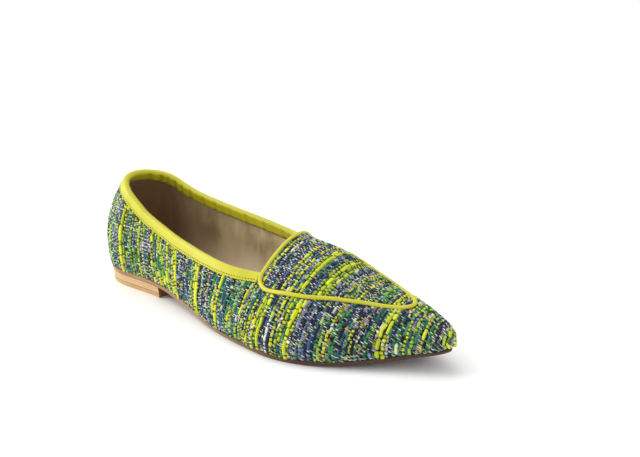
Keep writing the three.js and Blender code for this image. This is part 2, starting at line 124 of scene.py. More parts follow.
# Sections of the last: feather line, underside, crown, ridge, swell of the wall, squareness.
SECTIONS = {
    "columns": ["at", "centre", "half", "under", "crown", "ridge", "swell", "square"],
    "rows": [
        [0, 0, 23.6, 7.6, 104, 0, 1.4, 2.1],
        [30, 0, 23.8, 7.6, 102, 0, 2.2, 2.1],
        [60, -0.5, 24.3, 7.2, 95, 0, 2.4, 2.5],
        [90, -4.2, 26.6, 4, 79, 1.5, 2.5, 3],
        [120, -8, 31.4, 0.6, 64, 3, 2.5, 2.7],
        [149, -9, 36.3, -0.3, 52, 4, 2.5, 2.1],
        [175, -8.2, 39.2, -0.3, 49.6, 1.6, 2.5, 2],
        [200, -5.4, 34.8, 0.8, 40.4, 3.4, 2.5, 2],
        [221, -2.4, 25.2, 3, 34.8, 5, 2, 2],
        [241, 0.3, 14, 6.9, 31.1, 4.4, 1.5, 2],
        [255, 1.2, 7.4, 10.2, 26.4, 3.2, 1, 2],
        [262, 1.5, 4.9, 12.4, 23.4, 1.5, 0.5, 2],
    ],
}

# How far the back of the upper stands forward at each height above the feather.
HEEL_CURVE = {
    "columns": ["at", "forward"],
    "rows": [[0, 2], [10, 0.6], [20, 0], [30, 1.6], [40, 5.2], [50, 10.9], [58, 16.2], [70, 23.8]],
}

# Height of the cut edge of the upper above the floor, on each side.
TOPLINE = {
    "columns": ["at", "lateral", "medial"],
    "rows": [
        [0, 67.4, 67.4],
        [15, 64.8, 64],
        [35, 58.2, 58.2],
        [50, 52.4, 54.7],
        [65, 48.4, 52.7],
        [80, 45.2, 51.1],
        [95, 43.2, 49.6],
        [110, 41.6, 47.9],
        [125, 40, 45.9],
        [140, 38.9, 43.9],
        [150, 38.7, 42.9],
    ],
}

# The vamp seam, in turns across the last: -1 and 1 at the feather lines, 0 at the ridge.
SEAM = {
    "columns": ["at", "middle", "reach"],
    "rows": [
        [147, -0.03, 0.55],
        [170, -0.07, 0.47],
        [185, -0.09, 0.4],
        [198, -0.06, 0.35],
        [213, -0.055, 0.29],
        [224, -0.075, 0.225],
        [230, -0.09, 0.175],
        [236, -0.105, 0.13],
    ],
}


def smooth(value):
    t = np.clip(value, 0, 1)
    return t * t * (3 - 2 * t)


def lerp(a, b, t):
    return a + (b - a) * t


def curves_of(table):
    """Turns a table into one smooth curve per named column."""
    at = np.array([row[0] for row in table["rows"]], float)
    return {
        name: curve(at, np.array([row[index + 1] for row in table["rows"]], float))
        for index, name in enumerate(table["columns"][1:])
    }


def curve(at, values):
    """Cubic through the rows, with the slope at each row weighted from its two neighbours."""
    span = np.diff(at)
    rise = np.diff(values) / span
    inner = (rise[:-1] * span[1:] + rise[1:] * span[:-1]) / (span[:-1] + span[1:])
    slope = np.concatenate([rise[:1], inner, rise[-1:]])

    def value(place):
        x = np.clip(place, at[0], at[-1])
        i = np.clip(np.searchsorted(at, x) - 1, 0, len(at) - 2)
        t = (x - at[i]) / span[i]
        t2 = t * t
        t3 = t2 * t
        ends = (2 * t3 - 3 * t2 + 1) * values[i] + (3 * t2 - 2 * t3) * values[i + 1]
        return ends + ((t3 - 2 * t2 + t) * slope[i] + (t3 - t2) * slope[i + 1]) * span[i]

    return value


LAST = curves_of(SECTIONS)
HEEL = curves_of(HEEL_CURVE)
EDGE = curves_of(TOPLINE)
VAMP = curves_of(SEAM)


def end_round(station):
    heel = np.clip((HEEL_ROUND - station) / HEEL_ROUND, 0, 1)
    toe = np.clip((station - LENGTH + TOE_ROUND) / TOE_ROUND, 0, 1)
    return np.sqrt(1 - heel**2) * np.sqrt(1 - toe**2)


def forward(station, height):
    return HEEL["forward"](height) * (1 - smooth(station / HEEL_FADE))


def ground_at(x):
    return np.maximum(0, LAST["under"](x))


def feather_height(station):
    return ground_at(station + forward(station, np.zeros_like(station))) + SOLE_THICKNESS + GAP


def surface(place, turn):
    """Points on the outside of the upper, at stations along it and turns across it."""
    place, turn = np.broadcast_arrays(np.asarray(place, float), np.asarray(turn, float))
    side = np.where(turn < 0, LATERAL, MEDIAL)
    climb = 1 - np.abs(turn)
    near = 1 - smooth(np.abs(place - THROAT) / THROAT_REACH)
    station = place - side * THROAT_SLANT * near * np.sin(np.pi * climb)
    feather = feather_height(station)
    rise = np.sin(climb * np.pi / 2)
    height = (LAST["crown"](station) - feather) * rise
    square = LAST["square"](station)
    span = np.maximum(0, 1 - rise**square) ** (1 / square)
    ratio = rise / BULGE_HEIGHT
    swell = LAST["swell"](station) * ratio * np.exp(1 - ratio) * np.cos(climb * np.pi / 2)
    centre = lerp(LAST["centre"](station), LAST["ridge"](station), smooth(climb))
    half = end_round(station) * (LAST["half"](station) * span + swell)
    return np.stack([station + forward(station, height), centre + side * half, feather + height], -1)


def unit(vectors):
    return vectors / np.maximum(np.linalg.norm(vectors, axis=-1, keepdims=True), 1e-12)


def reach_along(points):
    """Distance along a row of points, from the first one to each."""
    return np.concatenate([[0], np.cumsum(np.linalg.norm(np.diff(points, axis=0), axis=1))])


def normal_at(place, turn):
    """Outward normals of the skin."""
    step = 0.02
    turn_step = 0.001
    s = np.clip(place, step, LENGTH - step)
    t = np.clip(turn, turn_step - 1, 1 - turn_step)
    along = surface(s + step, t) - surface(s - step, t)
    across = surface(s, t + turn_step) - surface(s, t - turn_step)
    return unit(np.cross(along, across))


def topline_climb(side, station):
    shift = THROAT_SLANT * smooth((station - THROAT + THROAT_REACH) / THROAT_REACH)
    s = np.minimum(station, THROAT) - side * shift
    feather = feather_height(s)
    height = np.where(side < 0, EDGE["lateral"](s), EDGE["medial"](s))
    ratio = (height - feather) / (LAST["crown"](s) - feather)
    return np.arcsin(np.clip(ratio, 0, 1)) * 2 / np.pi


def seam_turn(side, station):
    tip = np.clip((station - SEAM_TIP + SEAM_TIP_ROUND) / SEAM_TIP_ROUND, 0, 1)
    along = VAMP["middle"](station) + side * VAMP["reach"](station) * np.sqrt(1 - tip**2)
    out = 1 - np.clip((station - THROAT - CORD_START) / CORNER_REACH, 0, 1)
    corner = side * (1 - topline_climb(side, THROAT))
    return lerp(corner, along, np.sqrt(1 - out**2))


def offset_of_frame():
    """Where the last's own zero lies in the frame, from the tip of the toe."""
    tip = max((corner.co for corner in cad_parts["upper"].data.vertices), key=lambda co: co.x)
    return np.array([tip.x * 1000 - LENGTH, tip.y * 1000 - SECTIONS["rows"][-1][1], 0])


OFFSET = offset_of_frame()


def place(points):
    """Points of the last, in millimetres, as places in the frame, in metres."""
    return (np.asarray(points, float) + OFFSET) / 1000


# Camera
CAMERA_TURN = math.radians(40.0)
CAMERA_RISE = math.radians(18.94)
CAMERA_ROLL = math.radians(-0.2)
CAMERA_DISTANCE = 800.0
CAMERA_LENS = 75.65
SENSOR_WIDTH = 36.0
NEAREST_SEEN = 0.01
CAMERA_TARGET = (131.0, 0.0, 25.0)
CAMERA_ASIDE = -29.64
CAMERA_DOWN = -27.93


def make_camera():
    back = np.array([
        math.sin(CAMERA_TURN) * math.cos(CAMERA_RISE),
        -math.cos(CAMERA_TURN) * math.cos(CAMERA_RISE),
        math.sin(CAMERA_RISE),
    ])
    level = np.array([math.cos(CAMERA_TURN), math.sin(CAMERA_TURN), 0])
    upright = np.cross(back, level)
    right = level * math.cos(CAMERA_ROLL) + upright * math.sin(CAMERA_ROLL)
    up = upright * math.cos(CAMERA_ROLL) - level * math.sin(CAMERA_ROLL)
    spot = np.array(CAMERA_TARGET) + back * CAMERA_DISTANCE - right * CAMERA_ASIDE - up * CAMERA_DOWN
    data = bpy.data.cameras.new("camera")
    data.lens = CAMERA_LENS
    data.sensor_width = SENSOR_WIDTH
    data.clip_start = NEAREST_SEEN
    camera = bpy.data.objects.new("camera", data)
    bpy.context.scene.collection.objects.link(camera)
    turn = Matrix((Vector(right), Vector(up), Vector(back))).transposed()
    camera.matrix_world = Matrix.Translation(Vector(place(spot))) @ turn.to_4x4()
    bpy.context.scene.camera = camera


# Colours of the yarns in daylight, and how thick each kind is: half its width, and half its height.
YARNS = {
    "yellow": (0.84, 0.86, 0.13),
    "lime": (0.63, 0.77, 0.22),
    "green": (0.22, 0.55, 0.32),
    "teal": (0.13, 0.43, 0.42),
    "navy": (0.12, 0.16, 0.31),
    "blue": (0.23, 0.35, 0.56),
    "lilac": (0.53, 0.52, 0.70),
    "plum": (0.35, 0.20, 0.36),
    "grey": (0.55, 0.60, 0.61),
    "mint": (0.62, 0.78, 0.68),
    "pink": (0.88, 0.76, 0.74),
    "tan": (0.68, 0.54, 0.36),
    "cream": (0.87, 0.86, 0.72),
    "white": (0.92, 0.94, 0.92),
    "black": (0.07, 0.08, 0.10),
}
SLUB = {"half": 1.25, "rise": 0.85, "float": 0.42, "extra": 0.0, "steady": 0.96}
VIVID = {"half": 1.0, "rise": 0.68, "float": 0.24, "extra": 0.1, "steady": 0.88}
SOFT = {"half": 0.95, "rise": 0.62, "float": 0.18, "extra": 0.12, "steady": 0.66}
FINE = {"half": 0.66, "rise": 0.47, "float": 0.06, "extra": 0.14, "steady": 0.56}
VIVID_YARNS = ("yellow", "lime")
FINE_YARNS = ("grey", "mint", "pink", "tan", "cream", "white", "black", "plum")

# Weave
PACKING = 0.93
WARP_PITCH = 1.12
WARP_HALF = 0.3
TURN_STEPS = 721
WEFT_SIDES = 6
WARP_SIDES = 4
SEAM_CLEAR = 0.9
QUARTER_WARPS_END = 100.0
SEED = 11
WEFT_SEEDS = 1000
WARP_SEEDS = 2000
WARP_SEED_CYCLE = 997
ROW_SLACK = 0.01
TUCKED_UNDER = 0.3
LAY_STEPS = 6001
LAY_TURN = -0.6
SEAM_STEPS = 240
SEAM_CROWDING = 1.3
SEAM_BLOCK = 60
LEAST_RINGS = 3
END_TAPER = 0.65

# How uneven the yarns are: chances, shares of size and brightness, and millimetres along the shoe
TINT_SPREAD = 0.16
TINT_LIMITS = (0.6, 1.3)
TINT_CHANGE = 0.5
BEAD_SPREAD = 0.13
BEAD_LIMITS = (0.75, 1.3)
BEAD_DRIFT = 0.13
SWAY = 0.25
SWAY_EVERY = 6
RING_MEAN = 0.94
RING_SPREAD = 0.06
WARP_SPREAD = 0.12

# Where a warp holds a weft down, the weft is narrower, flatter, lower and darker by these; the darkening is
# painted shade under the warp
PINCH_HALF = 0.3
PINCH_RISE = 0.42
PINCH_DOWN = 0.42
PINCH_PAINTED_SHADE = 0.3

# Heights of the middles: a weft's as a share of its half height, a warp's in mm when low, and its rise
WEFT_SIT = 0.62
WARP_LOW = -0.05
WARP_WAVE = 0.85

# Crosswise yarns of the main cloth: the station where each run of yarns starts, and the yarns
# that follow each other from there, one after another, until the next run.
CLOTH_CHART = [
    [0, "white mint grey cream white"],
    [9, "lime mint white cream"],
    [16, "mint white lilac cream"],
    [26, "slub_yellow yellow cream"],
    [31, "teal mint lime cream"],
    [38, "lime green yellow cream"],
    [46, "mint lime blue cream"],
    [53, "pink cream yellow pink lime"],
    [61, "cream slub_yellow yellow lime"],
    [69, "lime blue pink cream"],
    [73, "slub_yellow lime green yellow yellow"],
    [83, "navy blue mint navy grey"],
    [97, "teal cream lime mint"],
    [103, "slub_yellow"],
    [106, "navy black pink white navy"],
    [117, "teal black green mint"],
    [125, "slub_yellow"],
    [127, "teal green blue teal"],
    [136, "green mint lime teal"],
    [144, "yellow pink lime cream black"],
    [152, "yellow black white navy"],
    [158, "slub_yellow lime slub_yellow"],
    [165, "navy blue lime navy"],
    [172, "yellow black lime"],
    [179, "green slub_yellow yellow teal"],
    [186, "lilac navy blue"],
    [192, "black navy blue navy green navy"],
    [203, "yellow tan green"],
    [208, "green navy blue"],
    [215, "black navy pink black"],
    [220, "navy green black"],
    [227, "slub_yellow slub_yellow"],
    [231, "green navy green teal"],
    [238, "green yellow teal"],
    [243, "lime green teal"],
    [248, "yellow black green"],
    [252, "pink black navy plum"],
    [256, "tan black lime"],
    [260, "yellow green"],
]

# Crosswise yarns of the vamp insert.
INSERT_CHART = [
    [147, "green teal yellow black"],
    [152, "navy blue black navy black"],
    [160, "navy black blue black"],
    [167, "yellow navy blue"],
    [173, "yellow lilac lime"],
    [178, "slub_yellow green yellow"],
    [183, "navy blue lime"],
    [188, "slub_yellow lime yellow"],
    [194, "lilac black navy white"],
    [200, "yellow cream lime"],
    [206, "grey black yellow navy"],
    [213, "green teal lime green"],
    [221, "black green navy"],
    [225, "slub_yellow yellow"],
    [229, "black white black"],
]
DARK_SPECKS = ("black", "teal", "navy", "green", "blue", "tan", "black", "lilac", "lime", "yellow", "cream")
PALE_SPECKS = ("lime", "green", "yellow", "white", "lilac", "mint", "cream", "teal")

# Lengthwise threads: the colours that show over bright yarns and over dark ones.
BRIGHT_YARNS = ("yellow", "lime", "cream", "white", "pink", "mint")
DARK_WARPS = ("black", "navy", "green", "black", "teal")
PALE_WARPS = ("white", "cream", "mint", "white", "lilac", "pink", "yellow")
PALE_OVER_BRIGHT = 0.15
PALE_OVER_DARK = (0.74, 0.44)

BAKE_MARGIN = 0.05
CAPS_FROM = 0.96
CAP_COLUMNS = 6


def linear(colour):
    value = np.asarray(colour, float)
    return np.where(value <= 0.04045, value / 12.92, ((value + 0.055) / 1.055) ** 2.4)


def add_piece(name, mesh, material):
    piece = bpy.data.objects.new(name, mesh)
    bpy.context.scene.collection.objects.link(piece)
    mesh.materials.append(material)
    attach(piece, "root")
    return piece


def grid_mesh(name, rows, closed=False, capped=False):
    """A smooth mesh through rows of points, in millimetres. Closed joins each row into a ring."""
    rows = np.asarray(rows)
    count, across = rows.shape[:2]
    i, j = np.meshgrid(np.arange(count - 1), np.arange(across if closed else across - 1), indexing="ij")
    k = (j + 1) % across
    corners = [i * across + j, i * across + k, (i + 1) * across + k, (i + 1) * across + j]
    faces = np.stack([corner.ravel() for corner in corners], 1).tolist()
    if capped:
        faces.append(list(range(across - 1, -1, -1)))
        faces.append(list(range((count - 1) * across, count * across)))
    mesh = bpy.data.meshes.new(name)
    mesh.from_pydata(place(rows.reshape(-1, 3)).tolist(), [], faces)
    mesh.update()
    mesh.shade_smooth()
    return mesh


def outward(mesh):
    """Turns every face of a closed mesh outward."""
    shape = bmesh.new()
    shape.from_mesh(mesh)
    bmesh.ops.recalc_face_normals(shape, faces=shape.faces)
    shape.to_mesh(mesh)
    shape.free()
    return mesh


def ring_faces(count, sides):
    """Corners of the quads along one tube, and which ring and side each starts from."""
    ring = np.repeat(np.arange(count - 1), sides)
    side = np.tile(np.arange(sides), count - 1)
    following = (side + 1) % sides
    here, there = ring * sides, (ring + 1) * sides
    return np.stack([here + side, here + following, there + following, there + side], 1), ring, side


def strand_mesh(name, strands, sides):
    """Joins closed tubes, each with its rings' centres, axes, half sizes and colours.
    The bake map lays the rings' quads in columns, and the tubes' ends in a strip beside them."""
    angles = np.arange(sides) * 2 * np.pi / sides
    steps = sum(len(strand["centre"]) - 1 for strand in strands)
    columns = max(1, round(math.sqrt(steps / sides)))
    rows = math.ceil(steps / columns)
    cap_rows = math.ceil(2 * len(strands) / CAP_COLUMNS)
    points, tints, quads, yarn, bake, caps, cap_bake = [], [], [], [], [], [], []
    first = step = 0
    for number, strand in enumerate(strands):
        count = len(strand["centre"])
        wide = strand["aside"][:, None, :] * (strand["half"][:, None] * np.cos(angles))[..., None]
        tall = strand["out"][:, None, :] * (strand["rise"][:, None] * np.sin(angles))[..., None]
        points.append((strand["centre"][:, None, :] + wide + tall).reshape(-1, 3))
        tints.append(np.repeat(strand["tint"], sides, axis=0))
        faces, ring, side = ring_faces(count, sides)
        quads.append(first + faces)
        around = np.stack([side, side + 1, side + 1, side], 1) / sides
        reach = strand["reach"]
        along = np.stack([reach[ring], reach[ring], reach[ring + 1], reach[ring + 1]], 1)
        yarn.append(np.stack([around, along], -1).reshape(-1, 2))
        column, row = np.divmod(step + ring, rows)
        u = (column[:, None] + BAKE_MARGIN + (1 - 2 * BAKE_MARGIN) * around) / columns * CAPS_FROM
        v = (row[:, None] + np.array([0, 0, 1, 1])) / rows
        bake.append(np.stack([u, v], -1).reshape(-1, 2))
        last = first + (count - 1) * sides
        caps.append(np.arange(first + sides - 1, first - 1, -1))
        caps.append(np.arange(last, last + sides))
        for end in range(2):
            column, row = divmod(2 * number + end, cap_rows)
            u = CAPS_FROM + (column + 0.5 + 0.4 * np.cos(angles)) / CAP_COLUMNS * (1 - CAPS_FROM)
            v = (row + 0.5 + 0.4 * np.sin(angles)) / cap_rows
            cap_bake.append(np.stack([u, v], -1))
        first += count * sides
        step += count - 1
    cap_loops = np.zeros((len(caps) * sides, 2))
    sizes = np.concatenate([np.full(step * sides, 4), np.full(len(caps), sides)])
    loops = np.concatenate([np.concatenate(quads).ravel(), np.concatenate(caps)])
    colours = np.column_stack([np.concatenate(tints), np.ones(first)])
    return mesh_from_arrays(
        name,
        np.concatenate(points),
        loops,
        sizes,
        colours,
        {"Yarn": np.concatenate(yarn + [cap_loops]), "OFBake": np.concatenate(bake + cap_bake)},
    )


def mesh_from_arrays(name, points, loops, sizes, colours, maps):
    mesh = bpy.data.meshes.new(name)
    mesh.vertices.add(len(points))
    mesh.vertices.foreach_set("co", place(points).astype(np.float32).ravel())
    mesh.loops.add(len(loops))
    mesh.loops.foreach_set("vertex_index", loops.astype(np.int32))
    mesh.polygons.add(len(sizes))
    mesh.polygons.foreach_set("loop_start", (np.cumsum(sizes) - sizes).astype(np.int32))
    mesh.update(calc_edges=True)
    mesh.shade_smooth()
    tint = mesh.color_attributes.new("Tint", "FLOAT_COLOR", "POINT")
    tint.data.foreach_set("color", colours.astype(np.float32).ravel())
    for key, values in maps.items():
        layer = mesh.uv_layers.new(name=key)
        layer.data.foreach_set("uv", values.astype(np.float32).ravel())
    mesh.validate()
    return mesh


def kind_of(name):
    """The plain colour name of a yarn, and its thickness."""
    if name.startswith("slub_"):
        return name[5:], SLUB
    if name in VIVID_YARNS:
        return name, VIVID
    return name, FINE if name in FINE_YARNS else SOFT


def lay_wefts(chart, start):
    """Names and stations of the wefts, laid side by side along the wall as the chart orders them."""
    fine = LENGTH * (1 - np.cos(np.linspace(0, np.pi, LAY_STEPS))) / 2
    path = surface(fine, np.full_like(fine, LAY_TURN))
    reach = reach_along(path)
    names, stations = [], []
    since, run = 0, None
    at = np.interp(start, fine, reach)
    while at < reach[-1]:
        here = np.interp(at, reach, fine) + ROW_SLACK
        row = [index for index, entry in enumerate(chart) if entry[0] <= here][-1]
        since = since + 1 if row == run else 0
        run = row
        yarns = chart[row][1].split()
        name = yarns[since % len(yarns)]
        width = 2 * kind_of(name)[1]["half"] * PACKING
        names.append(name)
        stations.append(np.interp(at + width / 2, reach, fine))
        at += width
    return names, np.array(stations)


TURNS = np.linspace(-0.9995, 0.9995, TURN_STEPS)


def reach_across(stations):
    """Distance from the ridge at every turn, signed, with the quarters' warps level.

    Over the open collar the two sides would overlap, so each one stops halfway between them."""
    points = surface(stations[:, None], TURNS[None, :])
    steps = np.linalg.norm(np.diff(points, axis=1), axis=2)
    reach = np.concatenate([np.zeros((len(stations), 1)), np.cumsum(steps, axis=1)], axis=1)
    middle = TURN_STEPS // 2
    reach -= reach[:, middle][:, None]
    girth = np.linalg.norm(np.diff(surface(THROAT, TURNS), axis=0), axis=1)
    level = 1 - smooth((stations - QUARTER_WARPS_END) / (THROAT - QUARTER_WARPS_END))
    lateral = (-reach[:, 0] - girth[:middle].sum()) * level
    medial = (reach[:, -1] - girth[middle:].sum()) * level
    halfway = (lateral - medial)[:, None] / 2
    on_lateral = np.minimum(reach + lateral[:, None], halfway)
    on_medial = np.maximum(reach - medial[:, None], halfway)
    return np.where(TURNS < 0, on_lateral, on_medial)


def seam_line():
    """Stations and turns along the vamp seam, from the lateral corner round the tip to the medial."""
    share = np.sin(np.linspace(0, 1, SEAM_STEPS) * np.pi / 2) ** SEAM_CROWDING
    stations = THROAT + CORD_START + (SEAM_TIP - THROAT - CORD_START) * share
    lateral = seam_turn(LATERAL, stations)
    medial = seam_turn(MEDIAL, stations)[::-1]
    return np.concatenate([stations, stations[::-1][1:]]), np.concatenate([lateral, medial[1:]])


SEAM_POINTS = surface(*seam_line())


def distance_to_seam(points):
    nearest = np.full(len(points), np.inf)
    for block in range(0, len(SEAM_POINTS), SEAM_BLOCK):
        seam = SEAM_POINTS[None, block : block + SEAM_BLOCK, :]
        gap = np.linalg.norm(points[:, None, :] - seam, axis=2)
        nearest = np.minimum(nearest, gap.min(axis=1))
    return nearest


def in_insert(station, turn):
    inside = (turn > seam_turn(LATERAL, station)) & (turn < seam_turn(MEDIAL, station))
    return inside & (station > THROAT + CORD_START) & (station < SEAM_TIP)


def in_cloth(station, turn):
    """Whether a point is on the main cloth, below the collar strip and outside the vamp seam."""
    side = np.where(turn < 0, LATERAL, MEDIAL)
    edge = side * (1 - topline_climb(side, station))
    depth = np.linalg.norm(surface(station, turn) - surface(station, edge), axis=-1)
    below = (np.abs(turn) > np.abs(edge)) & (depth > BINDING_OUTSIDE - TUCKED_UNDER)
    beyond = (side * (turn - seam_turn(side, station)) > 0) | (station >= SEAM_TIP)
    return np.where(station < THROAT, below, beyond)


def cut_strands(wanted, turns, parts):
    """A strand for each stretch of a yarn that is wanted and long enough."""
    edges = np.flatnonzero(np.diff(np.concatenate([[0], wanted.astype(int), [0]])))
    strands = []
    for start, end in zip(edges[::2], edges[1::2]):
        if end - start >= LEAST_RINGS:
            piece = strand(*[part[start:end] for part in parts])
            piece["turn"] = turns[start:end].mean()
            strands.append(piece)
    return strands


def bead_tints(rng, count, main, steady):
    """A colour for each bead: mostly the main yarn, broken by short runs of the others."""
    run = np.cumsum(rng.random(count) < TINT_CHANGE)
    keeps = rng.random(count + 1) < steady
    specks = PALE_SPECKS if main in BRIGHT_YARNS else DARK_SPECKS
    others = rng.integers(len(specks), size=count + 1)
    names = [main if keep else specks[other] for keep, other in zip(keeps, others)]
    table = linear([YARNS[name] for name in names])
    shade = 1 + TINT_SPREAD * rng.standard_normal((count, 1))
    return table[run] * np.clip(shade, *TINT_LIMITS)


def frame_along(centre, out):
    """Directions across a strand, for each of its rings."""
    ahead = np.gradient(centre, axis=0)
    aside = unit(np.cross(ahead, out))
    return aside, unit(np.cross(aside, ahead))


def strand(centre, out, half, rise, tint, reach):
    aside, up = frame_along(centre, out)
    taper = np.ones(len(centre))
    taper[[0, -1]] = END_TAPER
    return {
        "centre": centre,
        "aside": aside,
        "out": up,
        "half": half * taper,
        "rise": rise * taper,
        "tint": tint,
        "reach": reach,
    }


def held_crossings(names, low, high):
    """Crossings where a warp holds its weft down: every other one, with some left out or added."""
    rng = np.random.default_rng(SEED)
    shape = (len(names), high - low + 1)
    kinds = [kind_of(name)[1] for name in names]
    left_out = rng.random(shape) < np.array([kind["float"] for kind in kinds])[:, None]
    added = rng.random(shape) < np.array([kind["extra"] for kind in kinds])[:, None]
    plain = (np.arange(low, high + 1)[None, :] + np.arange(len(names))[:, None]) % 2 == 1
    return (plain & ~left_out) | added


def weave(chart, start, keep, sides):
    """Both sets of yarns of one cloth, as strands, sorted to the sides asked for."""
    names, stations = lay_wefts(chart, start)
    between = (stations[1:] + stations[:-1]) / 2
    all_stations = np.sort(np.concatenate([stations, between]))
    reach = reach_across(all_stations)
    low = math.floor(reach[:, 0].min() / WARP_PITCH) - 1
    high = math.ceil(reach[:, -1].max() / WARP_PITCH) + 1
    held = held_crossings(names, low, high)
    wefts = []
    warps = []
    for number, name in enumerate(names):
        across = reach[2 * number]
        wefts += weft_strands(number, name, stations[number], across, held[number], low, keep)
    for number in range(low, high + 1):
        warps += warp_strands(number, names, all_stations, reach, held[:, number - low], keep)
    return sort_by_side(wefts, sides), sort_by_side(warps, sides)


def sort_by_side(strands, sides):
    sorted_strands = {side: [] for side in sides}
    for piece in strands:
        sorted_strands[sides[0] if piece["turn"] < 0 else sides[-1]].append(piece)
    return sorted_strands


def weft_strands(number, name, station, reach, held, low, keep):
    """One crosswise yarn, which stands up between the warps that hold it down."""
    rng = np.random.default_rng(SEED * WEFT_SEEDS + number)
    colour, kind = kind_of(name)
    ends = reach[[0, -1]] / WARP_PITCH
    marks = np.arange(math.ceil(ends[0] * 2), math.floor(ends[1] * 2) + 1) / 2
    marks = np.concatenate([ends[:1], marks, ends[1:]])
    turns = np.interp(marks * WARP_PITCH, reach, TURNS)
    pinch = np.zeros(len(marks))
    for crossing in (np.round(marks), np.ceil(marks), np.floor(marks)):
        tight = np.where(held[crossing.astype(int) - low], 1 - np.abs(marks - crossing), 0)
        pinch = np.maximum(pinch, tight)
    bead = np.cumsum(held)[np.floor(marks).astype(int) - low]
    bead -= bead.min()
    count = bead.max() + 1
    tints = bead_tints(rng, count, colour, kind["steady"])
    plump = np.clip(1 + BEAD_SPREAD * rng.standard_normal(count), *BEAD_LIMITS)
    drift = BEAD_DRIFT * rng.standard_normal(count)
    bends = marks[::SWAY_EVERY]
    sway = np.interp(marks, bends, SWAY * rng.standard_normal(len(bends)))
    lines = station + drift[bead] + sway
    points = surface(lines, turns)
    clear = distance_to_seam(points) > SEAM_CLEAR
    wanted = keep(np.full_like(turns, station), turns) & clear
    out = normal_at(lines, turns)
    size = plump[bead] * (RING_MEAN + RING_SPREAD * rng.standard_normal(len(marks)))
    half = kind["half"] * size * (1 - PINCH_HALF * pinch)
    rise = kind["rise"] * size * (1 - PINCH_RISE * pinch)
    lift = WEFT_SIT * kind["rise"] - PINCH_DOWN * pinch
    centre = points + out * lift[:, None]
    # Painted shade where the warp holds the weft down.
    tint = tints[bead] * (1 - PINCH_PAINTED_SHADE * pinch)[:, None]
    distance = marks * WARP_PITCH
    return cut_strands(wanted, turns, [centre, out, half, rise, tint, distance])


def warp_tints(rng, names, stations):
    """The colour of a lengthwise thread where it crosses each weft, paler towards the heel."""
    bright = np.array([kind_of(name)[0] in BRIGHT_YARNS for name in names])
    over_dark = lerp(PALE_OVER_DARK[0], PALE_OVER_DARK[1], smooth(stations / LENGTH))
    pale = rng.random(len(names)) < np.where(bright, PALE_OVER_BRIGHT, over_dark)
    pick = rng.random(len(names))
    light = [PALE_WARPS[int(value * len(PALE_WARPS))] for value in pick]
    dark = [DARK_WARPS[int(value * len(DARK_WARPS))] for value in pick]
    return linear([YARNS[light[k] if pale[k] else dark[k]] for k in range(len(names))])


def warp_strands(number, names, stations, reach, held, keep):
    """One lengthwise thread, over the wefts that it holds down and under the others."""
    rng = np.random.default_rng(SEED * WARP_SEEDS + number % WARP_SEED_CYCLE)
    across = number * WARP_PITCH
    there = (reach[:, 0] < across) & (reach[:, -1] > across)
    if there.sum() < LEAST_RINGS:
        return []
    turns = np.array([np.interp(across, row, TURNS) for row in reach])
    points = surface(stations, turns)
    clear = distance_to_seam(points) > SEAM_CLEAR
    wanted = keep(stations, turns) & clear & there
    out = normal_at(stations, turns)
    wave = np.empty(len(stations))
    wave[::2] = np.where(held, 1, 0)
    wave[1::2] = (wave[:-1:2] + wave[2::2]) / 2
    crossing = np.arange(len(stations)) // 2
    tints = warp_tints(rng, names, stations[::2])
    centre = points + out * (WARP_LOW + WARP_WAVE * wave)[:, None]
    size = np.full(len(stations), WARP_HALF) * (1 + WARP_SPREAD * rng.standard_normal(len(stations)))
    distance = reach_along(points)
    return cut_strands(wanted, turns, [centre, out, size, size, tints[crossing], distance])


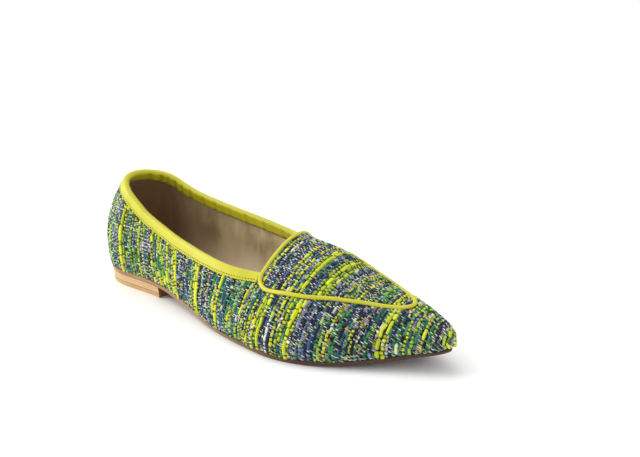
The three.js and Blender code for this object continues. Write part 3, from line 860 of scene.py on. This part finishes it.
class Nodes:
    """Short hand for building one material."""

    def __init__(self, name, roughness):
        self.material = bpy.data.materials.new(name)
        self.material.use_nodes = True
        self.tree = self.material.node_tree
        self.shader = self.tree.nodes["Principled BSDF"]
        self.shader.inputs["Roughness"].default_value = roughness

    def add(self, kind, **values):
        node = self.tree.nodes.new(kind)
        for key, value in values.items():
            setattr(node, key, value)
        return node

    def link(self, source, target):
        self.tree.links.new(source, target)

    def give(self, socket, value):
        """Sets a socket to a number or a colour, or links it."""
        if isinstance(value, bpy.types.NodeSocket):
            self.link(value, socket)
        elif isinstance(value, (int, float)):
            socket.default_value = value
        else:
            numbers = [float(x) for x in value]
            socket.default_value = numbers + [1.0] if socket.type == "RGBA" else numbers

    def spots(self, stretch=(1, 1, 1)):
        """Places on the object, in metres, stretched so that patterns come out long or short."""
        mapping = self.add("ShaderNodeMapping")
        self.give(mapping.inputs["Scale"], stretch)
        self.link(self.add("ShaderNodeTexCoord").outputs["Object"], mapping.inputs["Vector"])
        return mapping.outputs["Vector"]

    def noise(self, scale, detail=3.0, roughness=0.5, stretch=(1, 1, 1), warp=0.0):
        node = self.add("ShaderNodeTexNoise")
        self.give(node.inputs["Scale"], scale)
        self.give(node.inputs["Detail"], detail)
        self.give(node.inputs["Roughness"], roughness)
        self.give(node.inputs["Distortion"], warp)
        self.link(self.spots(stretch), node.inputs["Vector"])
        return node.outputs["Fac"]

    def cells(self, scale, feature="F1"):
        node = self.add("ShaderNodeTexVoronoi", feature=feature)
        self.give(node.inputs["Scale"], scale)
        self.link(self.spots(), node.inputs["Vector"])
        return node.outputs["Distance"]

    def bands(self, scale, axis="Z", warp=0.0):
        node = self.add("ShaderNodeTexWave", bands_direction=axis)
        self.give(node.inputs["Scale"], scale)
        self.give(node.inputs["Distortion"], warp)
        self.link(self.spots(), node.inputs["Vector"])
        return node.outputs["Fac"]

    def math(self, operation, *values):
        node = self.add("ShaderNodeMath", operation=operation)
        for socket, value in zip(node.inputs, values):
            self.give(socket, value)
        return node.outputs[0]

    def between(self, source, low, high, start=0.0, end=1.0):
        """Carries a value from one range over to another."""
        node = self.add("ShaderNodeMapRange")
        for key, value in {"From Min": start, "From Max": end, "To Min": low, "To Max": high}.items():
            self.give(node.inputs[key], value)
        self.link(source, node.inputs["Value"])
        return node.outputs["Result"]

    def mix(self, factor, first, second, blend="MIX"):
        node = self.add("ShaderNodeMix", data_type="RGBA", blend_type=blend)
        factor_socket, first_socket, second_socket = node.inputs[0], node.inputs[6], node.inputs[7]
        self.give(factor_socket, factor)
        self.give(first_socket, first)
        self.give(second_socket, second)
        return node.outputs[2]

    def tones(self, pattern, low, high, deep, light):
        """Two tones of one stuff, mixed by a pattern."""
        return self.mix(self.between(pattern, 0, 1, low, high), linear(deep), linear(light))

    def breast(self, colour):
        """Darkens the front face of the heel."""
        face = self.rising("X", BREAST_FACE - 2 * BREAST_BLEND, BREAST_FACE - BREAST_BLEND)
        return self.mix(face, colour, linear(STACK_BREAST))

    def rising(self, axis, low, high):
        """Rises from 0 to 1 between two places along one axis of the shoe, in metres."""
        split = self.add("ShaderNodeSeparateXYZ")
        self.link(self.add("ShaderNodeTexCoord").outputs["Object"], split.inputs[0])
        return self.between(split.outputs[axis], 0, 1, low, high)

    def attribute(self, name, output="Color"):
        return self.add("ShaderNodeAttribute", attribute_name=name).outputs[output]

    def bump(self, height, distance, normal=None):
        node = self.add("ShaderNodeBump")
        self.give(node.inputs["Distance"], distance)
        self.link(height, node.inputs["Height"])
        if normal is not None:
            self.link(normal, node.inputs["Normal"])
        return node.outputs["Normal"]

    def done(self, colour=None, normal=None, roughness=None, **constants):
        for key, value in {"Base Color": colour, "Normal": normal, "Roughness": roughness}.items():
            if value is not None:
                self.give(self.shader.inputs[key], value)
        for key, value in constants.items():
            self.give(self.shader.inputs[key.replace("_", " ")], value)
        return self.material


def yarn_material():
    """Twisted yarn: the strand's own tint, two plies winding round it with painted shade between them, and
    fine fuzz.
    """
    nodes = Nodes("yarn", 0.85)
    split = nodes.add("ShaderNodeSeparateXYZ")
    nodes.link(nodes.add("ShaderNodeUVMap", uv_map="Yarn").outputs["UV"], split.inputs[0])
    turn = nodes.math("ADD", nodes.math("MULTIPLY", split.outputs["Y"], 1.1), split.outputs["X"])
    ply = nodes.math("SINE", nodes.math("MULTIPLY", turn, 4 * math.pi))
    fuzz = nodes.noise(5000.0, 4.0, 0.65)
    # Painted shade and highlight: the tint darker in the grooves between the plies and lighter on their
    # crowns.
    light = nodes.between(ply, 0.82, 1.1, -1, 1)
    grain = nodes.between(fuzz, 0.74, 1.26, 0.25, 0.75)
    colour = nodes.mix(1.0, nodes.attribute("Tint"), nodes.math("MULTIPLY", light, grain), "MULTIPLY")
    height = nodes.math("ADD", nodes.math("MULTIPLY", ply, 0.5), fuzz)
    return nodes.done(
        colour, nodes.bump(height, 0.00012), Sheen_Weight=0.15, Sheen_Roughness=0.5, Specular_IOR_Level=0.25
    )


def ground_material():
    """The dark backing that shows between the yarns."""
    nodes = Nodes("ground", 0.95)
    fuzz = nodes.noise(900.0, 5.0, 0.7)
    colour = nodes.tones(fuzz, 0.35, 0.65, GROUND_DARK, GROUND_LIGHT)
    return nodes.done(colour, nodes.bump(fuzz, 0.0003))


def trim_material():
    """Smooth dyed leather with a fine grain, and painted shade: darker and greener where it turns inside
    and in the collar's crease troughs.
    """
    nodes = Nodes("trim_leather", 0.42)
    cloud = nodes.noise(90.0, 4.0, 0.6)
    pores = nodes.cells(2600.0)
    grain = nodes.noise(1500.0, 3.0, 0.6)
    clouded = nodes.tones(cloud, 0.3, 0.7, TRIM_DEEP, TRIM_BRIGHT)
    # The Shade attribute carries painted shade, mixed towards the shaded trim colour.
    shade = nodes.attribute("Shade", "Fac")
    colour = nodes.mix(shade, clouded, linear(TRIM_PAINTED_SHADE))
    height = nodes.math("ADD", pores, nodes.math("MULTIPLY", grain, 0.6))
    rough = nodes.between(cloud, 0.36, 0.5, 0.3, 0.7)
    return nodes.done(colour, nodes.bump(height, 0.00005), rough, Specular_IOR_Level=0.45)


def lining_material():
    """Soft unfinished leather, mottled, with a nap, and painted shade darkening it towards the heel."""
    nodes = Nodes("lining_leather", 0.8)
    cloud = nodes.noise(70.0, 4.0, 0.55, stretch=(1, 1, 0.35), warp=0.15)
    fine = nodes.noise(1400.0, 4.0, 0.65)
    colour = nodes.tones(cloud, 0.38, 0.62, LINING_DEEP, LINING_LIGHT)
    colour = nodes.mix(nodes.between(fine, 0.0, 0.35, 0.3, 0.8), colour, linear(LINING_DEEP))
    colour = nodes.mix(nodes.rising("Z", 0.012, 0.03), linear(LINING_FOOT), colour)
    # Painted shade: darker towards the heel, where the back of the shoe shades the inside.
    colour = nodes.mix(nodes.rising("X", -0.105, -0.04), linear(LINING_HEEL_SHADE), colour)
    height = nodes.math("ADD", fine, nodes.math("MULTIPLY", cloud, 2.0))
    return nodes.done(colour, nodes.bump(height, 0.00018), Specular_IOR_Level=0.25, Sheen_Weight=0.1)


def sock_material():
    nodes = Nodes("sock_leather", 0.72)
    cloud = nodes.noise(30.0, 4.0, 0.6)
    fine = nodes.noise(1700.0, 4.0, 0.6)
    colour = nodes.tones(cloud, 0.3, 0.7, SOCK_DEEP, SOCK_LIGHT)
    # Painted shade: darker towards the heel, where the back of the shoe shades the sock.
    colour = nodes.mix(nodes.rising("X", -0.11, -0.04), linear(SOCK_HEEL_SHADE), colour)
    height = nodes.math("ADD", fine, nodes.math("MULTIPLY", nodes.cells(1900.0), 0.7))
    return nodes.done(colour, nodes.bump(height, 0.00012), Specular_IOR_Level=0.3)


def sole_material():
    """Leather sole: darker towards the toe, with a fibrous side and a scuffed underside."""
    nodes = Nodes("sole_leather", 0.5)
    fibre = nodes.noise(260.0, 5.0, 0.65, stretch=(0.12, 0.12, 4))
    cloud = nodes.noise(35.0, 4.0, 0.6)
    scuff = nodes.noise(220.0, 3.0, 0.6, stretch=(0.25, 1.6, 1), warp=0.4)
    colour = nodes.tones(fibre, 0.3, 0.7, SOLE_DEEP, SOLE_LIGHT)
    colour = nodes.mix(nodes.between(cloud, 0, 0.35, 0.4, 0.75), colour, linear(SOLE_RED))
    colour = nodes.mix(nodes.between(scuff, 0, 0.25, 0.55, 0.75), colour, linear(SOLE_SCUFF))
    colour = nodes.mix(nodes.rising("X", -0.03, 0.06), colour, linear(SOLE_TOE))
    rough = nodes.between(scuff, 0.42, 0.7, 0.4, 0.7)
    return nodes.done(colour, nodes.bump(fibre, 0.00012), rough, Specular_IOR_Level=0.4)


def stack_material():
    """Thin layers of leather, pressed and burnished."""
    nodes = Nodes("heel_stack", 0.48)
    layers = nodes.bands(190.0, "Z", 0.4)
    fibre = nodes.noise(300.0, 5.0, 0.65, stretch=(0.15, 0.15, 3))
    colour = nodes.tones(fibre, 0.3, 0.7, STACK_DEEP, STACK_LIGHT)
    line = nodes.between(layers, 0.0, 0.55, 0.86, 0.99)
    colour = nodes.mix(line, colour, linear(STACK_LINE))
    colour = nodes.breast(colour)
    height = nodes.math("SUBTRACT", nodes.math("MULTIPLY", fibre, 0.5), line)
    return nodes.done(colour, nodes.bump(height, 0.00015), Specular_IOR_Level=0.4)


def tip_material():
    nodes = Nodes("heel_tip", 0.55)
    fibre = nodes.noise(350.0, 5.0, 0.65, stretch=(0.2, 0.2, 3))
    colour = nodes.tones(fibre, 0.3, 0.7, TIP_DEEP, TIP_LIGHT)
    colour = nodes.breast(colour)
    return nodes.done(colour, nodes.bump(fibre, 0.00015), Specular_IOR_Level=0.35)


def floor_material():
    nodes = Nodes("floor", 0.8)
    return nodes.done(colour=linear(FLOOR), Specular_IOR_Level=0.2)


EDGE_STEP = 0.01
CLIMB_STEP = 0.02
TOPLINE_PASSES = 4


def near_topline(side, station, depth, out):
    """Points near the cut edge: so deep below it, and so far out from the skin."""
    given = [np.asarray(value, float) for value in (side, station, depth, out)]
    side, station, depth, out = np.broadcast_arrays(*given)
    edge = topline_climb(side, station)
    top = surface(station, side * (1 - edge))
    below = surface(station, side * (1 - edge + EDGE_STEP))
    up = unit(top - below)
    climb = edge.copy()
    for _ in range(TOPLINE_PASSES):
        here = np.linalg.norm(surface(station, side * (1 - climb)) - top, axis=-1)
        lower = np.linalg.norm(surface(station, side * (1 - climb + CLIMB_STEP)) - top, axis=-1)
        climb -= (np.maximum(depth, 0) - here) / ((lower - here) / CLIMB_STEP)
    climb = np.where(depth > 0, climb, edge)
    turn = side * (1 - climb)
    points = surface(station, turn) + up * np.maximum(-depth, 0)[..., None]
    return points + normal_at(station, turn) * out[..., None]


# Creases across the collar strip: side, station, how deep, how wide and how far they lean.
COLLAR_CREASES = [
    [1, 4, 0.35, 1.6, 0.5],
    [1, 11, 0.45, 1.8, 1.0],
    [1, 17, 0.3, 1.3, -0.6],
    [1, 25, 0.5, 2.0, 1.2],
    [1, 33, 0.35, 1.4, 0.4],
    [1, 42, 0.4, 1.8, 1.0],
    [1, 55, 0.25, 1.5, 0.6],
    [1, 66, 0.35, 1.7, -0.5],
    [1, 79, 0.25, 1.6, 0.8],
    [1, 93, 0.3, 1.8, 0.4],
    [1, 108, 0.25, 1.5, -0.4],
    [1, 124, 0.3, 1.7, 0.6],
    [-1, 5, 0.35, 1.6, 0.5],
    [-1, 13, 0.45, 1.8, -0.8],
    [-1, 22, 0.35, 1.6, 0.6],
    [-1, 37, 0.3, 1.7, 0.8],
    [-1, 58, 0.25, 1.5, -0.5],
    [-1, 84, 0.3, 1.6, 0.6],
    [-1, 115, 0.25, 1.6, 0.4],
]
COLLAR_END = THROAT + 0.2
ROLL_STEPS = 9
COLLAR_RINGS = 190
COLLAR_CROWDING = 1.25
WALK_STEPS = 500


def collar_section():
    """Depth below the cut edge and distance out from the skin, round the folded strip."""
    inner = -WALL - GAP
    proud = GAP + 0.8
    outer = [
        [BINDING_OUTSIDE - 0.1, GAP - 0.35],
        [BINDING_OUTSIDE + 0.1, GAP + 0.1],
        [BINDING_OUTSIDE + 0.02, GAP + 0.42],
        [BINDING_OUTSIDE - 0.35, GAP + 0.62],
        [4.2, proud - 0.08],
        [2.8, proud],
        [1.4, proud + 0.04],
    ]
    middle = -WALL / 2
    roll = [
        [-BINDING_PROUD * math.sin(turn), middle + (proud - middle) * math.cos(turn)]
        for turn in np.linspace(0, math.pi, ROLL_STEPS)
    ]
    lower = [
        [1.5, -WALL - proud + 0.04],
        [3.2, -WALL - proud + 0.14],
        [BINDING_INSIDE - 0.8, inner - 0.6],
        [BINDING_INSIDE - 0.25, inner - 0.5],
        [BINDING_INSIDE, inner - 0.15],
        [BINDING_INSIDE - 0.1, inner + 0.3],
    ]
    return outer + roll + lower


def crease_depth(side, station, depth):
    """How far the collar strip is drawn in by its creases, which run out before its edges."""
    total = np.zeros(np.broadcast(station, depth).shape)
    for crease_side, at, deep, wide, lean in COLLAR_CREASES:
        if crease_side == side:
            gap = (station - at - lean * depth / BINDING_INSIDE) / wide
            trough = np.exp(-(gap**2)) - 0.45 * np.exp(-((np.abs(gap) - 1.9) ** 2))
            total += deep * trough
    return total


def shaded_strip(name, rings, shades):
    """A closed strip through rings of points, with how deep in painted shade each point lies where it turns
    inside.
    """
    mesh = grid_mesh(name, np.concatenate(rings), closed=True, capped=True)
    attribute = mesh.attributes.new("Shade", "FLOAT", "POINT")
    attribute.data.foreach_set("value", np.concatenate(shades).ravel().astype(np.float32))
    return outward(mesh)


def make_collar(trim):
    """The folded strip round the opening, from one throat corner round the heel to the other."""
    section = np.array(collar_section())
    share = np.linspace(0, 1, COLLAR_RINGS)
    stations = COLLAR_END * share**COLLAR_CROWDING
    rows = []
    shades = []
    for side in (LATERAL, MEDIAL):
        depth, out = section[:, 0][None, :], section[:, 1][None, :]
        s = stations[:, None]
        inner = smooth((-0.4 - out) / 1.4)
        outer = 1 - inner
        strength = inner + 0.12 * outer
        drawn = crease_depth(side, s, depth) * strength * smooth((depth + 1.2) / 1.6)
        ripple = 0.05 * np.sin(s * 1.7 + side) * inner + 0.03 * np.sin(s * 0.45)
        towards = np.where(out < -WALL / 2, 1.0, -1.0)
        shifted = out + towards * (drawn * 0.9 + ripple)
        points = near_topline(side, s, depth, shifted)
        rows.append(points[::-1] if side < 0 else points[1:])
        # Painted shade: the inner face darker, and darker still in the troughs of its creases.
        shade = inner * (0.62 + 0.9 * np.clip(drawn, -0.3, 0.6)) + 0 * s
        shades.append(shade[::-1] if side < 0 else shade[1:])
    piece = add_piece("collar_strip", shaded_strip("collar_strip", rows, shades), trim)
    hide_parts("collar_binding")


CORD_RINGS = 360
CORD_SIDES = 16
CORD_SEAT = 0.45
CORD_PUFF = 0.03


def cord_path():
    """The cord's centre line: along the vamp seam, from the lateral throat corner to the medial."""
    stations, turns = seam_line()
    points = surface(stations, turns)
    reach = reach_along(points)
    even = np.linspace(0, reach[-1], CORD_RINGS)
    return np.interp(even, reach, stations), np.interp(even, reach, turns), even


def make_cord(trim):
    stations, turns, reach = cord_path()
    out = normal_at(stations, turns)
    lift = GAP + CORD_SEAT + 0.04 * np.sin(reach * 0.35) + 0.03 * np.sin(reach * 0.83)
    centre = surface(stations, turns) + out * lift[:, None]
    aside, up = frame_along(centre, out)
    angles = np.linspace(0, 2 * np.pi, CORD_SIDES, endpoint=False)
    across = np.cos(angles) * (CORD_HALF + CORD_PUFF)
    tall = np.sin(angles) * (CORD_HEIGHT - CORD_SEAT)
    rings = centre[:, None, :] + aside[:, None, :] * across[:, None] + up[:, None, :] * tall[:, None]
    mesh = grid_mesh("vamp_cord", rings, closed=True, capped=True)
    piece = add_piece("vamp_cord", outward(mesh), trim)
    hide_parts("vamp_piping")


def throat_section():
    """Distance forward from the throat edge and out from the skin, round the folded strip."""
    inner = -WALL - GAP
    proud = GAP + CORD_HEIGHT - 0.1
    centre, radius = CORD_START, CORD_HALF
    cord = [
        [centre + radius * math.cos(turn), GAP + 0.4 + (proud - GAP - 0.4) * math.sin(turn)]
        for turn in np.linspace(-0.3, 0.72 * math.pi, 10)
    ]
    turned = [
        [-0.75, 0.75],
        [-1.12, 0.0],
        [-1.2, -1.2],
        [-1.0, inner - 0.3],
        [-0.3, inner - 0.8],
        [1.0, inner - 0.85],
        [3.4, inner - 0.65],
        [4.3, inner - 0.5],
        [4.6, inner - 0.15],
        [4.4, inner + 0.3],
        [0.0, inner + 0.2],
        [-0.2, -1.0],
        [0.0, GAP - 0.2],
    ]
    return np.array(cord + turned)


def make_throat(trim):
    section = throat_section()
    rings = []
    shades = []
    inner = smooth((-0.6 - section[:, 1]) / 1.4)
    for side in (LATERAL, MEDIAL):
        foot = topline_climb(side, THROAT) - 0.012
        climbs = np.linspace(foot, 1, 60)
        if side > 0:
            climbs = climbs[::-1][1:]
        turns = side * (1 - climbs)
        pace = np.linalg.norm(surface(THROAT + 0.5, turns) - surface(THROAT, turns), axis=-1) * 2
        at = np.maximum(THROAT, THROAT + section[:, 0][None, :] / pace[:, None])
        turns = np.broadcast_to(turns[:, None], at.shape)
        points = surface(at, turns)
        points[..., 0] += np.minimum(section[:, 0], 0)
        points += normal_at(at, turns) * section[:, 1][None, :, None]
        rings.append(points)
        # Painted shade on the inner face of the strip.
        shades.append(np.broadcast_to(inner * 0.8, at.shape))
    piece = add_piece("throat_strip", shaded_strip("throat_strip", rings, shades), trim)
    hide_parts("throat_binding")


# Wrinkles of the lining: side, station, climb, how deep, how wide, how long and how far they lean.
LINING_WRINKLES = [
    [1, 22, 0.26, 0.5, 4, 0.16, 2],
    [1, 40, 0.30, 0.7, 5, 0.14, -3],
    [1, 58, 0.28, 0.9, 4, 0.15, 4],
    [1, 70, 0.33, 0.8, 5, 0.12, -2],
    [1, 84, 0.30, 1.0, 4, 0.16, 5],
    [1, 95, 0.38, 0.9, 5, 0.14, -4],
    [1, 106, 0.33, 1.1, 4, 0.18, 3],
    [1, 116, 0.42, 0.9, 4, 0.14, 6],
    [1, 127, 0.35, 1.1, 5, 0.16, -3],
    [1, 138, 0.40, 0.8, 4, 0.14, 4],
    [-1, 25, 0.28, 0.6, 5, 0.14, 2],
    [-1, 52, 0.25, 0.8, 5, 0.12, -3],
    [-1, 80, 0.28, 0.9, 5, 0.14, 4],
    [-1, 105, 0.30, 0.8, 6, 0.14, -4],
    [-1, 128, 0.33, 0.9, 5, 0.14, 3],
]
LINING_OFFSET = 0.12
LINING_LEG = 1.2
LINING_TOP_STEPS = 34
LINING_RINGS = 120
LINING_CROWDING = 1.3
VAMP_LINING_RINGS = 70
VAMP_LINING_END = 258


def wrinkle_depth(side, station, climb):
    """How far the lining stands off the wall, in soft ridges with troughs beside them."""
    total = 0.3 * np.sin(station * 0.11 + side) * np.sin(climb * 9)
    for wrinkle_side, at, height, deep, wide, tall, lean in LINING_WRINKLES:
        if wrinkle_side == side:
            rise = (climb - height) / tall
            gap = (station - at - lean * rise) / wide
            ridge = np.exp(-(gap**2)) - 0.5 * np.exp(-((np.abs(gap) - 1.6) ** 2))
            total += deep * np.exp(-(rise**2)) * ridge
    return total


def lining_points(side, stations, top):
    """Rows of lining points, from behind the sock up to a climb."""
    share = np.linspace(0, 1, LINING_TOP_STEPS)
    climbs = lerp(0.02, top[:, None], share[None, :])
    along = np.broadcast_to(stations[:, None], climbs.shape)
    turns = side * (1 - climbs)
    out = normal_at(along, turns)
    out[..., 2] *= smooth(climbs / 0.12)
    edge = topline_climb(side, along)
    below = np.where(along < THROAT, (edge - climbs) * CLIMB_LENGTH, 20.0)
    clear = smooth(below / BINDING_INSIDE - 0.7)
    calm = smooth(below / 4 - 1.6) * smooth(climbs / 0.1)
    fold = np.maximum(1.35 * wrinkle_depth(side, along, climbs) + 0.35, 0)
    inward = WALL + LINING_OFFSET + 0.3 * clear + fold * calm
    return surface(along, turns) - unit(out) * inward[..., None]


def make_lining():
    """The lining of the quarters, from one throat corner round the heel to the other, and of the vamp."""
    material = lining_material()
    share = np.linspace(0, 1, LINING_RINGS)
    stations = (THROAT + 2) * share**LINING_CROWDING
    rows = []
    for side in (LATERAL, MEDIAL):
        top = topline_climb(side, np.minimum(stations, THROAT)) - LINING_LEG / CLIMB_LENGTH
        points = lining_points(side, stations, top)
        rows.append(points[::-1] if side < 0 else points[1:])
    add_lining("lining_quarters", np.concatenate(rows), material)
    stations = np.linspace(THROAT + 1.2, VAMP_LINING_END, VAMP_LINING_RINGS)
    whole = np.ones_like(stations)
    lateral = lining_points(LATERAL, stations, whole)
    medial = lining_points(MEDIAL, stations, whole)[:, ::-1]
    add_lining("lining_vamp", np.concatenate([lateral, medial[:, 1:]], axis=1), material)


def add_lining(name, rows, material):
    piece = add_piece(name, grid_mesh(name, rows), material)
    thick = piece.modifiers.new("thickness", "SOLIDIFY")
    thick.thickness = LINING_THICKNESS
    thick.offset = 0


def collar_walk(depth, out):
    """Points, outward directions and reach along the collar strip, at one depth below its edge."""
    stations = COLLAR_END * np.linspace(0, 1, WALK_STEPS) ** COLLAR_CROWDING
    sides = np.concatenate([np.full(WALK_STEPS, LATERAL), np.full(WALK_STEPS - 1, MEDIAL)])
    stations = np.concatenate([stations[::-1], stations[1:]])
    points = near_topline(sides, stations, depth, out)
    outward_from = near_topline(sides, stations, depth, out + 1.0) - points
    reach = reach_along(points)
    return points, unit(outward_from), reach


def stitches(depth, out, facing, pitch, thread, hole):
    """A row of short stitches along the collar strip, with a dark disc between each two, the painted shade
    of a needle hole.
    """
    points, normals, reach = collar_walk(depth, out)
    strands = []

    def lay(marks, half, lift, tint):
        centre = np.stack([np.interp(marks, reach, points[:, axis]) for axis in range(3)], 1)
        away = facing * unit(np.stack([np.interp(marks, reach, normals[:, axis]) for axis in range(3)], 1))
        size = np.full(len(marks), half)
        colours = np.tile(linear(tint), (len(marks), 1))
        strands.append(strand(centre + away * lift[:, None], away, size, size * 0.8, colours, marks))

    share = np.array([0.16, 0.32, 0.5, 0.68, 0.84])
    arch = np.array([-0.1, 0.05, 0.1, 0.05, -0.1])
    for number in range(1, int(reach[-1] / pitch) - 1):
        lay((number + share) * pitch, STITCH_HALF, arch, thread)
        # Painted shade: a dark disc where each needle hole is.
        lay((number + np.array([-0.1, 0.0, 0.1])) * pitch, HOLE_HALF, np.full(3, 0.0), hole)
    return strands


def make_stitches(material):
    rows = stitches(STITCH_DEPTH, GAP + 0.66, 1, STITCH_PITCH, THREAD, NEEDLE_HOLE_SHADE)
    # The inner row takes the thread's painted-shade colour.
    rows += stitches(BINDING_INSIDE - 0.7, -WALL - GAP - 0.58, -1, STITCH_PITCH, THREAD_PAINTED_SHADE, NEEDLE_HOLE_SHADE)
    add_piece("collar_stitches", strand_mesh("collar_stitches", rows, 6), material)


def make_lining_edge(material):
    """The pale cut edge of the lining, just below the inner leg of the collar strip."""
    points, normals, reach = collar_walk(BINDING_INSIDE + 0.35, -WALL - GAP - 0.15)
    count = len(points)
    size = np.full(count, 0.3) * (1 + 0.2 * np.sin(reach * 1.3))
    tints = np.tile(linear(LINING_EDGE), (count, 1))
    mesh = strand_mesh("lining_edge", [strand(points, normals, size, size, tints, reach)], 6)
    add_piece("lining_edge", mesh, material)


def make_feather_shadow_line(material):
    """A dark strand painted as the shadow line where the upper turns in over the sole, darker towards the
    toe.
    """
    share = np.linspace(0, 1, FEATHER_RINGS)
    stations = FEATHER_START + (LENGTH - 2 * FEATHER_START) * (1 - np.cos(share * np.pi)) / 2
    strands = []
    for side in (LATERAL, MEDIAL):
        skin = surface(stations, np.full_like(stations, side * FEATHER_TURN))
        out = normal_at(stations, np.full_like(stations, side * FEATHER_TURN))
        # Painted shadow, deeper towards the toe.
        towards = smooth((stations - FEATHER_DARK_FROM) / FEATHER_DARK_OVER)[:, None]
        tints = linear(FEATHER_SHADOW_HEEL) * (1 - towards) + linear(FEATHER_SHADOW_TOE) * towards
        size = FEATHER_HALF * (1 + 0.12 * np.sin(stations * 0.7))
        reach = reach_along(skin)
        strands.append(strand(skin + out * FEATHER_LIFT, out, size, size * 0.9, tints, reach))
    add_piece("feather_shadow_line", strand_mesh("feather_shadow_line", strands, 8), material)


def make_cloth(yarn):
    wefts, warps = weave(CLOTH_CHART, 0.0, in_cloth, ("lateral", "medial"))
    insert_wefts, insert_warps = weave(INSERT_CHART, THROAT, in_insert, ("insert",))
    wefts.update(insert_wefts)
    warps.update(insert_warps)
    for side in ("lateral", "medial", "insert"):
        add_piece(f"weft_{side}", strand_mesh(f"weft_{side}", wefts[side], WEFT_SIDES), yarn)
        add_piece(f"warp_{side}", strand_mesh(f"warp_{side}", warps[side], WARP_SIDES), yarn)


def dress_nodes():
    looks = {
        "upper": ground_material(),
        "insole": sock_material(),
        "outsole": sole_material(),
        "heel_block": stack_material(),
        "heel_top_piece": tip_material(),
    }
    for name, material in looks.items():
        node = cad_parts[name]
        node.data.materials.clear()
        node.data.materials.append(material)
    for name in ("outsole", "heel_block", "heel_top_piece", "insole"):
        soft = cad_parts[name].modifiers.new("edges", "BEVEL")
        soft.width = EDGE_ROUND
        soft.segments = 2
        soft.limit_method = "ANGLE"
        soft.angle_limit = math.radians(35)
        soft.harden_normals = True


def make_floor():
    reach = 6.0
    corners = [(-reach, -reach, 0), (reach, -reach, 0), (reach, reach, 0), (-reach, reach, 0)]
    mesh = bpy.data.meshes.new("floor")
    mesh.from_pydata(corners, [], [(0, 1, 2, 3)])
    mesh.materials.append(floor_material())
    floor = bpy.data.objects.new("floor", mesh)
    bpy.context.scene.collection.objects.link(floor)


# Studio lights: name, place in metres, size and power
LIGHTS = [
    ["key", (-0.8, 0.1, 1.5), 2.0, 15],
    ["fill", (-1.5, -1.0, 0.6), 1.0, 20],
    ["front", (1.3, -0.5, 0.8), 0.8, 2],
]
WORLD_STRENGTH = 0.83


def make_light(name, spot, size, power):
    data = bpy.data.lights.new(name, "AREA")
    data.shape = "DISK"
    data.size = size
    data.energy = power
    light = bpy.data.objects.new(name, data)
    bpy.context.scene.collection.objects.link(light)
    light.location = spot
    light.rotation_mode = "QUATERNION"
    light.rotation_quaternion = (-Vector(spot)).to_track_quat("-Z", "Y")


def make_lights():
    world = bpy.data.worlds.new("studio")
    world.use_nodes = True
    background = world.node_tree.nodes["Background"]
    background.inputs["Color"].default_value = (1, 1, 1, 1)
    background.inputs["Strength"].default_value = WORLD_STRENGTH
    bpy.context.scene.world = world
    for light in LIGHTS:
        make_light(*light)


YARN = yarn_material()
TRIM = trim_material()
make_camera()
make_cloth(YARN)
make_collar(TRIM)
make_cord(TRIM)
make_throat(TRIM)
make_lining()
make_stitches(YARN)
make_lining_edge(YARN)
make_feather_shadow_line(YARN)
dress_nodes()
make_floor()
make_lights()
bpy.context.scene.view_settings.view_transform = "Standard"
